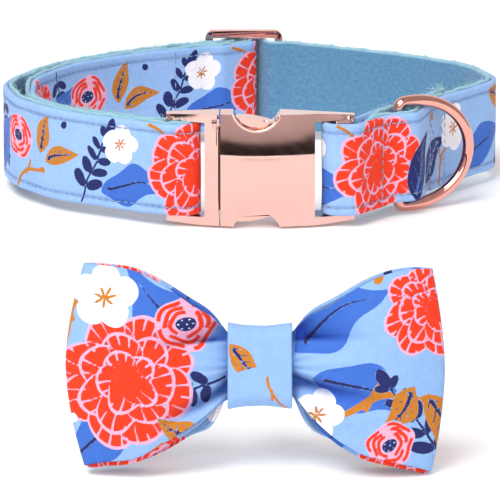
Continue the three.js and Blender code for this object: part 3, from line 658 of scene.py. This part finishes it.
hair_size = node(hair_tree, "FunctionNodeRandomValue", {2: 0.35, 3: 1.25, "Seed": 7}, data_type="FLOAT")
hair_scale = worked(hair_tree, "MULTIPLY", hair_size.outputs[1], hair_in["Hair length"])
hair_each = node(hair_tree, "GeometryNodeInstanceOnPoints",
                 {"Points": hair_spots.outputs[0], "Instance": hair_body.outputs[0],
                  "Rotation": hair_turn.outputs[0], "Scale": hair_scale})
finished(hair_tree, hair_out, hair_each.outputs[0], loose_fibre)

hair_lines = []
for start, end in ((0, round_buckle_bar - 18), (round_buckle_bar + 18, over_bar - 12),
                   (over_bar + 16, strap_length - 25)):
    steps = np.arange(start, end, 0.8)
    hair_lines += [on_strap(steps, 25.8, depth) for depth in (cover_thick + 0.5, cover_thick + 1.0)]
grown("felt_hairs", hair_tree, hair_lines, {"Spacing": 0.0007, "Hair length": 0.0011}, "felt_lining")
tuft_lines = [on_strap(0.1 - 0.5 * k, np.linspace(1, 26, 40), 0.8 + 0.4 * k) for k in range(4)]
tuft_lines += [on_strap(np.linspace(-4.5, 4, 12), 25.6 + 0.3 * k, 0.9 + 0.7 * k) for k in range(3)]
grown("frayed_end", hair_tree, tuft_lines, {"Spacing": 0.0004, "Hair length": 0.0017}, "felt_lining")

# Stitches. Grey blue thread: a row along each edge of the strap, rows across it that shut the loop round the
# buckle's bar and the tunnel of the ring, a crossed box that holds the cut end, and a row across the tail.
thread, thread_tree, thread_shader = new_finish("sewing thread")
thread_place = node(thread_tree, "ShaderNodeTexCoord").outputs["Object"]
thread_colour = mixed(thread_tree, noise(thread_tree, thread_place, 900.0), dye("5F7699"), dye("A9BBD3"))
thread_twist = node(thread_tree, "ShaderNodeTexWave", {"Vector": thread_place, "Scale": 1400.0},
                    bands_direction="DIAGONAL")
thread_relief = bumped(thread_tree, thread_twist.outputs["Fac"], 0.3, 0.00005)
joined(thread_tree, thread_shader, {"Base Color": thread_colour, "Normal": thread_relief, "Roughness": 0.6})

stitch_sizes = {"Pitch": 0.0021, "Stitch length": 0.00165, "Thread radius": 0.00017}
stitch_tree, stitch_in, stitch_out = grown_tree("stitches", stitch_sizes)
stitch_spots = spots_along(stitch_tree, stitch_in["Geometry"], stitch_in["Pitch"])
stitch_turn = node(stitch_tree, "FunctionNodeAlignRotationToVector", {"Vector": stitch_spots["Tangent"]},
                   axis="Z")
stitch_ball = node(stitch_tree, "GeometryNodeMeshUVSphere", {"Segments": 6, "Rings": 5, "Radius": 1.0})
stitch_half = worked(stitch_tree, "MULTIPLY", stitch_in["Stitch length"], 0.5)
stitch_size = node(stitch_tree, "ShaderNodeCombineXYZ",
                   {0: stitch_in["Thread radius"], 1: stitch_in["Thread radius"], 2: stitch_half})
stitch_each = node(stitch_tree, "GeometryNodeInstanceOnPoints",
                   {"Points": stitch_spots["Points"], "Instance": stitch_ball.outputs["Mesh"],
                    "Rotation": stitch_turn.outputs[0], "Scale": stitch_size.outputs[0]})
finished(stitch_tree, stitch_out, stitch_each.outputs[0], thread)

stitch_lines = []
for start, end in ((0.8, over_bar - 1), (over_bar + 1.5, strap_length - 0.8)):
    for row in seam_rows:
        steps = np.arange(start, end, 0.7)
        stitch_lines.append(on_strap(steps, row + 0.08 * np.sin(steps / 3.7), 0.06))
loop_seam, ring_seam, box_seam = (
    strap_place(x, y, 62, 130) for x, y in ((35.6, 8.9), (49.4, 24.0), (53.9, 35.2)))
tail_seam = strap_place(-19.3, 97.0, strap_length - 90, strap_length - 30)
box_steps = np.linspace(ring_seam, box_seam, 34)
seam_rise = np.linspace(1.3, strap_width - 1.3, 34)
stitch_lines += [on_strap(place, seam_rise, -0.06) for place in (loop_seam, ring_seam, box_seam)]
stitch_lines.append(on_strap(box_steps, np.linspace(6, 20.5, 34), -0.08))
stitch_lines.append(on_strap(box_steps, np.linspace(20.5, 6, 34), -0.1))
stitch_lines.append(on_strap(tail_seam, seam_rise, -0.06))
grown("strap_stitches", stitch_tree, stitch_lines, stitch_sizes, "printed_cotton")

# Buckle. Two die cast halves, polished and plated in rose gold. The front bows out a little and leans back
# towards its top, the edges are rolled, and the arms that reach past the strap slots taper to their ends.
buckle_height = 30.4
front_rises = np.arange(0, buckle_height + 0.2, 0.1)
lean_rises, lean_degrees = (0, 12, 18.4, 20.0, 23.6, buckle_height), (0, 0.6, 3.0, 7.9, 9.7, 11.6)
front_lean = np.radians(np.interp(front_rises, lean_rises, lean_degrees))
front_setback = np.cumsum(np.tan(front_lean)) * 0.1
rib_left, rib_right, gap_right = -10.2, -8.8, -7.3
gap_face = -8.05  # the plug's side of the gap between the halves
gap_widened = 0.3
lug_middle, lug_half = 2.05, 6.6
plug_lean = 0.55  # as a share of the socket's


def rose_gold(name, pale, deep, ripple):
    """Polished rose gold plating, with the slight ripple and haze of a cast and polished face."""
    material, tree, shader = new_finish(name)
    place = node(tree, "ShaderNodeTexCoord").outputs["Object"]
    joined(tree, shader, {
        "Base Color": mixed(tree, noise(tree, place, 90.0, 3.0), dye(pale), dye(deep)),
        "Roughness": ranged(tree, noise(tree, place, 420.0, 4.0), 0, 1, 0.03, 0.11),
        "Normal": bumped(tree, noise(tree, place, 130.0, 1.0), ripple, 0.0005), "Metallic": 1.0})
    return material


def cast(node_name, name, *materials):
    """A copy of one of the frame's solids, as a mesh and an open build of it with its corners merged."""
    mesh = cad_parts[node_name].data.copy()
    mesh.name = name
    mesh.materials.clear()
    for material in materials:
        mesh.materials.append(material)
    build = bmesh.new()
    build.from_mesh(mesh)
    bmesh.ops.remove_doubles(build, verts=build.verts, dist=2e-6)
    return mesh, build


def flattened(build):
    """Makes one face of the triangles that lie in one plane."""
    bmesh.ops.dissolve_limit(build, angle_limit=math.radians(0.4), verts=build.verts, edges=build.edges)


def closed(mesh, build):
    """Puts a build back in its mesh."""
    build.to_mesh(mesh)
    build.free()
    mesh.shade_smooth()
    return mesh


def rolled(made, radius, segments, sharpest, hardened=True):
    """Rounds a piece's edges that turn by more than an angle in degrees."""
    roll = made.modifiers.new("rolled edges", "BEVEL")
    roll.width = radius
    roll.segments = segments
    roll.limit_method = "ANGLE"
    roll.angle_limit = math.radians(sharpest)
    roll.harden_normals = hardened


def front_bow(x):
    """How far back the buckle's bowed front lies: furthest forward a little right of its middle."""
    return 5.5 * ((x - 3.1) / 25.5) ** 2 - 1


def crosswise(build, parts, x):
    """Cuts parts of a half in two across the buckle, so that they can bend there."""
    bmesh.ops.bisect_plane(build, geom=parts, dist=1e-6, plane_co=(drawing_origin.x + x / 1000, 0, 0),
                           plane_no=(1, 0, 0))


def is_lug(face):
    """Whether a face belongs to the upper or lower lug of a prong, behind the notches."""
    return all(abs((vertex.co.x - drawing_origin.x) * 1000 - lug_middle) < lug_half
               and vertex.co.y - drawing_origin.y > 0.0022
               and abs(vertex.co.z * 1000 - buckle_foot - buckle_height / 2) > 10.5 for vertex in face.verts)


def buckle_half(node_name, plug, *materials):
    """A cast half: the frame's solid with a leaning front, tapered arms and rolled edges."""
    mesh, build = cast(node_name, f"{node_name}_metal", *materials)
    flattened(build)
    for height in (8, 13, 16.4, 17.6, 18.4, 19.2, 20, 21.8, 23.6, 25.6, 27, 28.2, 29.3):
        bmesh.ops.bisect_plane(build, geom=build.verts[:] + build.edges[:] + build.faces[:], dist=1e-6,
                               plane_co=(0, 0, (buckle_foot + height) / 1000), plane_no=(0, 0, 1))
    if plug:
        crosswise(build, build.verts[:] + build.edges[:] + build.faces[:], gap_right)
        for x in (-2.5, -1, 0.5, 2, 3.5, 5, 6.5):
            lugs = [face for face in build.faces if is_lug(face)]
            parts = {part for face in lugs for part in (face, *face.edges, *face.verts)}
            crosswise(build, list(parts), x)
        # Painted shade: faces in the gap between the halves and on the rib's sides take a dark brown finish
        # in place of shade.
        for face in build.faces:
            x, y, z = (face.calc_center_median() - drawing_origin) * 1000
            in_gap = -9.5 < x < gap_right and 1.9 < y < 2.7
            on_rib_side = (rib_left < x < rib_right and 21.9 < z - buckle_foot < 29.1 and y < 0.4
                           and abs(face.normal.y) < 0.5)
            face.material_index = int(in_gap or on_rib_side)
    for vertex in build.verts:
        x, y, z = (Vector(vertex.co) - drawing_origin) * 1000
        rise = z - buckle_foot
        front = front_bow(x)
        if abs(x - gap_face) < 0.02 and 4.2 < rise < 26.4:
            x -= gap_widened
        if plug and y > 2.2 and abs(x - lug_middle) < lug_half:
            lug_top = 29.9 - 2.1 * max(0, (x + 3.6) / 11) ** 1.8
            rise = min(max(rise, buckle_height - lug_top), lug_top)
            z = buckle_foot + rise
        if y < front + 1.2:
            y += (plug_lean if plug else 1.0) * float(np.interp(rise, front_rises, front_setback))
        arm = min(1, max(0, x - 18.4) / 10 if x > 0 else max(0, -12.6 - x) / 17) ** 1.2
        if rise > buckle_height - 0.4:
            z -= 1.1 * arm
        elif rise < 0.4:
            z += 0.8 * arm
        vertex.co = Vector(in_frame((x, y, z)))
    half = piece(closed(mesh, build), "collar", "rose_gold", node_name)
    rolled(half, 0.00042, 3, 28, hardened=False)
    half.modifiers.new("even polish", "WEIGHTED_NORMAL").weight = 60


buckle_plating = rose_gold("buckle plating", "EFC5BC", "E4B6AB", 0.08)
# Painted shade: a dark brown plating for the gap between the halves and the rib's sides.
painted_gap_shade = rose_gold("painted gap shade", "5A3B36", "46302C", 0.1)
buckle_half("buckle_plug", True, buckle_plating, painted_gap_shade)
buckle_half("buckle_socket", False, buckle_plating)

# Notch rim. The socket's upper notch, in which the prong's lug shows, has a rounded lip on its edge. It is
# cast in one with the front and polished with it.
rim_radius, rim_wire, rim_sides = 6.95, 0.42, 12
rim_turn = np.radians(np.linspace(203, 337, 57))[:, None]
rim_round = np.radians(np.arange(0, 360, 360 / rim_sides))[None, :]
rim_out = rim_radius + rim_wire * np.cos(rim_round)
rim_x = lug_middle + rim_out * np.cos(rim_turn)
rim_rise = buckle_height + 2.6 + rim_out * np.sin(rim_turn)
rim_y = front_bow(rim_x) + 0.1 + np.interp(rim_rise, front_rises, front_setback)
rim_y = rim_y + rim_wire * np.sin(rim_round)
rim_points = in_frame(np.stack((rim_x, rim_y, rim_rise + buckle_foot), -1).reshape(-1, 3))
rim_mesh = bpy.data.meshes.new("buckle_notch_rim")
rim_mesh.from_pydata(rim_points.tolist(), [], shut_tube(len(rim_turn), rim_sides))
rim_mesh.materials.append(buckle_plating)
turned_out(rim_mesh).shade_smooth()
piece(rim_mesh, "collar", "rose_gold")

# Slider. A flat cast frame of three upright bars, in the same rose gold, that sets the collar's length.
slider_plating = rose_gold("slider plating", "FAC8BE", "F0B3A8", 0.05)
slider_mesh, slider_build = cast("slider", "slider_metal", slider_plating)
flattened(slider_build)
slider_metal = piece(closed(slider_mesh, slider_build), "collar", "rose_gold", "slider")
rolled(slider_metal, 0.0006, 3, 28)

# D-ring. Round wire bent to a D and welded shut in its straight bar, plated a deeper pink than the buckle.
ring_plating = rose_gold("ring plating", "FAB7AB", "F0A194", 0.04)
ring_mesh, ring_build = cast("d_ring", "d_ring_wire", ring_plating)
bmesh.ops.join_triangles(ring_build, faces=ring_build.faces, angle_face_threshold=0.6,
                         angle_shape_threshold=0.8)
ring_wire = piece(closed(ring_mesh, ring_build), "ring", "rose_gold", "d_ring")
ring_smooth = ring_wire.modifiers.new("smooth wire", "SUBSURF")
ring_smooth.levels = ring_smooth.render_levels = 2

# Bow. A wide band of the printed cotton sewn into a flat loop, folded at both ends and pinched in the middle,
# so that pleats run out from the knot. Its rear cloth hangs a little lower than the front one.
bow_lean = math.radians(11)
knot_low, knot_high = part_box("bow_knot")
bow_middle = np.array((knot_low + knot_high) / 2)
knot_edge = 7.6
bow_sides = {
    "left": {"reach": 44.0, "bulge": 4.2, "rows": np.array((  # out, top, front foot, rear foot, half depth
        (0, 7.4, -7.4, -7.4, 2.0), (7.6, 7.4, -6.6, -7.4, 2.4), (9.6, 9.9, -8.6, -12.0, 3.8),
        (16, 14.5, -13.7, -16.6, 6.4), (21.8, 18.7, -17.3, -20.0, 7.6), (27.6, 21.6, -20.4, -22.3, 7.4),
        (35.5, 23.0, -21.5, -23.2, 5.6), (41.0, 23.3, -21.8, -23.3, 3.9), (46, 23.4, -21.9, -23.3, 2.6)))},
    "right": {"reach": 41.9, "bulge": 2.9, "rows": np.array((
        (0, 7.4, -7.4, -7.4, 2.0), (7.6, 7.4, -6.4, -7.4, 2.4), (9.4, 9.6, -8.6, -11.6, 3.8),
        (16.6, 14.3, -15.8, -17.6, 6.6), (23.6, 18.9, -19.9, -21.2, 7.8), (28.2, 20.9, -21.1, -22.8, 7.4),
        (33.2, 22.0, -22.3, -23.8, 6.0), (39.0, 22.1, -23.2, -24.4, 3.9), (44, 22.1, -23.4, -24.4, 2.6)))},
}
bow_folds = (  # from x, z, to x, z, depth, width above it, width below it
    (-7, 5.9, -27, 4.4, 2.9, 4.2, 0.2), (-7, 6.1, -22, 4.9, 0.9, 0.7, 0.2),
    (-8, 9.5, -22, 17.5, 0.8, 2.4, 2.4), (-7, 0.6, -28, -0.8, -1.0, 3.4, 3.4),
    (-7, -4.6, -20, -11.6, 3.6, 1.5, 1.2), (-7, -2.2, -15, -3.4, 0.7, 0.7, 1.2),
    (-14, -9, -30, -17, 0.6, 2.4, 2.4), (7, 6.0, 25, 6.6, 3.0, 4.4, 0.2), (7, 6.2, 21, 6.7, 0.9, 0.7, 0.2),
    (8, 8.0, 25, 19.5, 1.3, 2.8, 2.8), (7, 1.6, 27, 1.2, -1.0, 3.2, 3.2), (7, -2.7, 26, -7.4, 4.2, 1.2, 2.0),
    (7, -6.0, 15, -11, 0.8, 0.9, 1.5), (12, -10, 26, -18, 0.6, 2.4, 2.4),
)


def smooth_line(table, column, out):
    """A smooth line through one column of a table, whose first column is the distance out."""
    xs, ys = table[:, 0], table[:, column]
    slopes = np.gradient(ys, xs)
    k = np.clip(np.searchsorted(xs, out) - 1, 0, len(xs) - 2)
    span = xs[k + 1] - xs[k]
    t = np.clip((out - xs[k]) / span, 0, 1)
    return ((2 * t ** 3 - 3 * t ** 2 + 1) * ys[k] + (t ** 3 - 2 * t ** 2 + t) * span * slopes[k]
            + (3 * t ** 2 - 2 * t ** 3) * ys[k + 1] + (t ** 3 - t ** 2) * span * slopes[k + 1])


def fold_dip(x, z):
    """How far the folds press the front cloth in."""
    dip = np.zeros_like(x)
    for from_x, from_z, to_x, to_z, depth, above, below in bow_folds:
        run = np.array((to_x - from_x, to_z - from_z), float)
        length = np.hypot(*run)
        share = np.clip(((x - from_x) * run[0] + (z - from_z) * run[1]) / length ** 2, 0, 1)
        off = ((z - from_z) * run[0] - (x - from_x) * run[1]) / length * np.sign(run[0])
        away = np.hypot(x - from_x - share * run[0], z - from_z - share * run[1])
        beyond = np.sqrt(np.maximum(away ** 2 - off ** 2, 0))
        width = np.where(off > 0, above, below)
        dip += depth * (1 - 0.85 * share) * np.exp(-(off / width) ** 2 - (beyond / 2.2) ** 2)
    return dip


under_knot = 2 / 15  # the share of each side that lies under the knot


def bow_surface(side, rear, share, rise):
    """The loop's outer face at a share of the way out and a rise from -1 to 1, about the knot's middle."""
    lobe = bow_sides[side]
    reach = lobe["reach"] - lobe["bulge"] * np.abs(rise) ** 1.7 * share ** 2
    rest = np.clip((share - under_knot) / (1 - under_knot), 0, 1)
    out = np.where(share < under_knot, knot_edge * share / under_knot,
                   knot_edge + (reach - knot_edge) * (0.55 * rest + 0.45 * np.sin(rest * np.pi / 2)))
    top, foot_front, foot_rear, half = (smooth_line(lobe["rows"], k, out) for k in (1, 2, 3, 4))
    foot = foot_rear if rear else foot_front
    foot = foot + eased(np.clip((share - 0.75) / 0.25, 0, 1)) * ((foot_front + foot_rear) / 2 - foot)
    if rear:
        top = top + 0.8 * np.exp(-((out - 14) / 6) ** 2)
    z = foot + (top - foot) * (rise + 1) / 2
    closing = np.sqrt(np.maximum(0, 1 - share ** 8))
    crown = 1 - 0.28 * rise ** 2 * np.clip((out - 9) / 11, 0, 1)
    x = -out if side == "left" else out
    fan = np.arctan2(z, out - 2)
    gathers = np.sin(21 * fan + np.sin(5 * fan)) * np.exp(-np.maximum(out - knot_edge, 0) / 8.5)
    y = half * closing * crown + 0.3 * closing * gathers * np.clip((out - 6) / 3, 0, 1)
    if rear:
        y = y - 0.25 * closing * np.sin(out / 3.1) * np.sin(z / 4.0)
    else:
        dip = np.minimum(fold_dip(x, z) * closing, 0.75 * half)
        y = y - dip + 0.12 * closing * np.sin(out / 2.7 + z / 6) * np.sin(z / 3.3)
    return np.stack((x, y if rear else -y, z), -1), out


def in_bow(points):
    """Points about the knot's middle, in mm, leaned back and put in the collar's frame."""
    x, y, z = np.moveaxis(points, -1, 0)
    back = y * math.cos(bow_lean) + z * math.sin(bow_lean)
    up = -y * math.sin(bow_lean) + z * math.cos(bow_lean)
    return np.stack((x, back, up), -1) / 1000 + bow_middle


def walled(made, thickness):
    """Gives a single cloth its thickness, inwards."""
    wall = made.modifiers.new("cloth wall", "SOLIDIFY")
    wall.thickness = thickness
    wall.offset = -1
    made.visible_glossy = False


# Painted shade: the bow's cotton is the strap's print on a darker ground, though it is the same cloth.
shaded_bow_cotton = printed_cotton("shaded bow cotton", "94BAEA")
bow_motifs = (  # on the front, x and z from the knot's middle
    ("leaf", -12, 7, 138, 24, "leaf"), ("sprig", -8, -2, 205, 20, "navy"), ("leaf", -43, -23, 34, 24, "leaf"),
    ("twig", -44, 4, 62, 17, "ochre"), ("blossom", -30, -3, 25, 31, "coral"),
    ("daisy", -35, 16, 15, 15, "white"), ("bud", -24, 9, 8, 15, "coral"),
    ("leaf", -16, -17, 200, 14, "ochre"), ("leaf", -13, -15, 160, 11, "ochre"),
    ("drop", -22, 21, 0, 2.2, "navy"), ("drop", -42, -12, 0, 2.0, "white"),
    ("leaf", 8, 3, 34, 26, "leaf"), ("leaf", 12, -3, -20, 24, "leaf"), ("twig", 15, -14, 16, 24, "ochre"),
    ("blossom", 39, 13, 60, 22, "coral"), ("sprig", 43, -22, 128, 25, "navy"),
    ("leaf", 38, -6, -76, 15, "ochre"), ("leaf", 35, -4, -128, 13, "ochre"),
    ("daisy", 13, -11, 0, 12, "white"), ("drop", 27, 20, 0, 2.2, "ochre"),
    ("bud", 24, -20, 24, 12, "coral"),
)
lobe_shares = np.concatenate((np.linspace(0, 0.12, 5), np.linspace(0.14, 1, 112)))
lobe_rises = np.linspace(-1, 1, 102)
bow_surfaces, bow_flats, bow_crease_shades = [], [], []
for side, rear in (("right", False), ("right", True), ("left", True), ("left", False)):
    shares = lobe_shares if (side == "right") != rear else lobe_shares[::-1]
    surface, out = bow_surface(side, rear, *np.meshgrid(shares[:-1], lobe_rises, indexing="ij"))
    across, up = surface[..., 0], surface[..., 2]
    bow_surfaces.append(surface)
    bow_flats.append(np.stack((7 - across if rear else across, up), -1).reshape(-1, 2))
    # Painted shade: the print is darkened down in the front's folds, a little on the rear, and next to the
    # knot.
    fold_shade = np.maximum(fold_dip(across, up), 0) * (0.1 if rear else 0.3)
    knot_shade = 0.5 * np.exp(-np.maximum(out - knot_edge, 0) / 1.1)
    bow_crease_shades.append(np.clip(fold_shade ** 1.4 + knot_shade, 0, 1).ravel())
bow_grid, bow_flat, bow_crease_shade = map(np.concatenate, (bow_surfaces, bow_flats, bow_crease_shades))
bow_mesh = cloth_mesh("bow_loop_cotton", in_bow(bow_grid), bow_flat, inked(bow_flat, bow_motifs),
                      patch(*bow_grid.shape[:2], hoop=True), shaded_bow_cotton, bow_crease_shade)
bow_loop = piece(bow_mesh, "collar", "printed_cotton", "bow_loop")
walled(bow_loop, 0.0015)

# Bow hems. The front cloth's lower edge is turned up inside, and its fold shows as a lip under each side of
# the bow. The lip fades out at the knot and at the folded end.
hem_start, hem_end = 0.15, 0.985  # shares of the way out
hem_behind, hem_below = 1.9, 1.15
for side in ("left", "right"):
    share, rise = np.meshgrid(np.linspace(hem_start, hem_end, 120), np.linspace(-1, -0.78, 9), indexing="ij")
    surface = bow_surface(side, False, share, rise)[0]
    surface[..., 1] += hem_behind
    surface[..., 2] -= hem_below * np.clip(np.minimum(share - hem_start, hem_end - share) / 0.1, 0, 1)
    flat = np.stack((surface[..., 0] + 6, surface[..., 2] + 31), -1).reshape(-1, 2)
    faces = [face[::-1] if side == "left" else face for face in patch(*surface.shape[:2])]
    hem_mesh = cloth_mesh(f"bow_hem_{side}", in_bow(surface), flat, inked(flat, bow_motifs), faces,
                          shaded_bow_cotton)
    hem = piece(hem_mesh, "collar", "printed_cotton")
    walled(hem, 0.0006)

# Knot. A narrower band of the same cotton round the middle, folded under at its edges and sewn behind. The
# pull of the bow draws its middle in a little.
knot_half_width, knot_half_depth, knot_half_height, knot_corner = 7.3, 4.6, 9.8, 3.2
knot_fold, knot_under = 0.5, 0.6  # how round its folded edges are, across and inwards
knot_flat_half = knot_half_width - knot_fold
around_knot = 180


def oblong(half_y, half_z, corner, count):
    """A rounded oblong round the X axis as (y, z), the same number of points on every size."""
    found = []
    for turn, y, z in (
            (0, half_y, half_z), (90, -half_y, half_z), (180, -half_y, -half_z), (270, half_y, -half_z)):
        for k in range(count):
            angle = math.radians(turn + 90 * k / (count - 1))
            found.append((y - math.copysign(corner, y) + corner * math.cos(angle),
                          z - math.copysign(corner, z) + corner * math.sin(angle)))
    found = np.array(found + found[:1])
    along = np.concatenate(([0], np.cumsum(np.hypot(*np.diff(found, axis=0).T))))
    even = np.linspace(0, along[-1], around_knot + 1)
    return even, np.column_stack([np.interp(even, along, found[:, k]) for k in (0, 1)])


def knot_fold_over(side, angles):
    """The band's folded edge on one side: across the band, and how far in from its face."""
    return [(side * knot_flat_half + knot_fold * math.cos(math.radians(angle)),
             knot_under - knot_under * math.sin(math.radians(angle))) for angle in angles]


knot_motifs = (
    ("leaf", 8, 30, 150, 11, "leaf"), ("leaf", -7, 44, 40, 11, "ochre"), ("twig", 7, 13, 140, 8, "ochre"),
    ("daisy", 3.2, 18.5, 0, 4.4, "white"), ("drop", -3.5, 11, 0, 1.4, "navy"), ("twig", 2, 2, 60, 7, "ochre"))
knot_profile = (  # across the band, and in from its face: over the front, round the edge and back under
    [(place, 0.0) for place in np.linspace(-knot_flat_half, knot_flat_half, 36)]
    + knot_fold_over(1, np.linspace(80, -80, 9))
    + [(place, 1.25) for place in np.linspace(knot_flat_half - 0.1, 0.1 - knot_flat_half, 8)]
    + knot_fold_over(-1, np.linspace(260, 100, 9)))
knot_points, knot_flat = [], []
for place, inset in knot_profile:
    waist = 0.8 * (1 - (place / knot_half_width) ** 2)
    around, outline = oblong(knot_half_depth - inset, knot_half_height - waist - inset,
                             max(knot_corner - inset, 0.5), 12)
    outline = outline[:-1]
    ridge = 0.03 * np.sin(place * 1.1 + outline[:, 1] / 3) + 0.015 * np.sin(place * 2.7 + 1)
    outline = outline * (1 + (ridge / 8)[:, None] * (inset < 0.3))
    knot_points.append(np.column_stack((np.full(around_knot, place), outline)))
    knot_flat.append(np.column_stack((np.full(around_knot, place), (around[:-1] + 30) % around[-1])))
knot_points, knot_flat = in_bow(np.array(knot_points)), np.concatenate(knot_flat)
knot_mesh = cloth_mesh("bow_knot_cotton", knot_points, knot_flat, inked(knot_flat, knot_motifs),
                       patch(len(knot_profile), around_knot, hoop=True, tube=True), shaded_bow_cotton)
bow_knot = piece(turned_out(knot_mesh), "collar", "printed_cotton", "bow_knot")
bow_knot.visible_glossy = False

# Elastic. A short loop of white ribbed elastic sewn behind the knot, through which the collar's strap goes.
elastic, elastic_tree, elastic_shader = new_finish("ribbed elastic")
elastic_place = node(elastic_tree, "ShaderNodeTexCoord").outputs["Object"]
elastic_rib = node(elastic_tree, "ShaderNodeTexWave",
                   {"Vector": elastic_place, "Scale": 420.0, "Distortion": 0.4},
                   bands_direction="X").outputs["Fac"]
joined(elastic_tree, elastic_shader, {
    "Base Color": mixed(elastic_tree, elastic_rib, dye("D9D8D6"), dye("F6F5F2")),
    "Normal": bumped(elastic_tree, elastic_rib, 0.6, 0.0002), "Roughness": 0.9})
elastic_mesh, elastic_build = cast("bow_elastic", "bow_elastic_band", elastic)
flattened(elastic_build)
elastic_low, elastic_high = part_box("bow_elastic")
drawn_in_to = (elastic_low.z + elastic_high.z) / 2 - 0.004
for vertex in elastic_build.verts:
    vertex.co.z += 0.12 * (drawn_in_to - vertex.co.z)
elastic_band = piece(closed(elastic_mesh, elastic_build), "collar", "elastic", "bow_elastic")
elastic_band.visible_glossy = False
rolled(elastic_band, 0.0003, 2, 40)
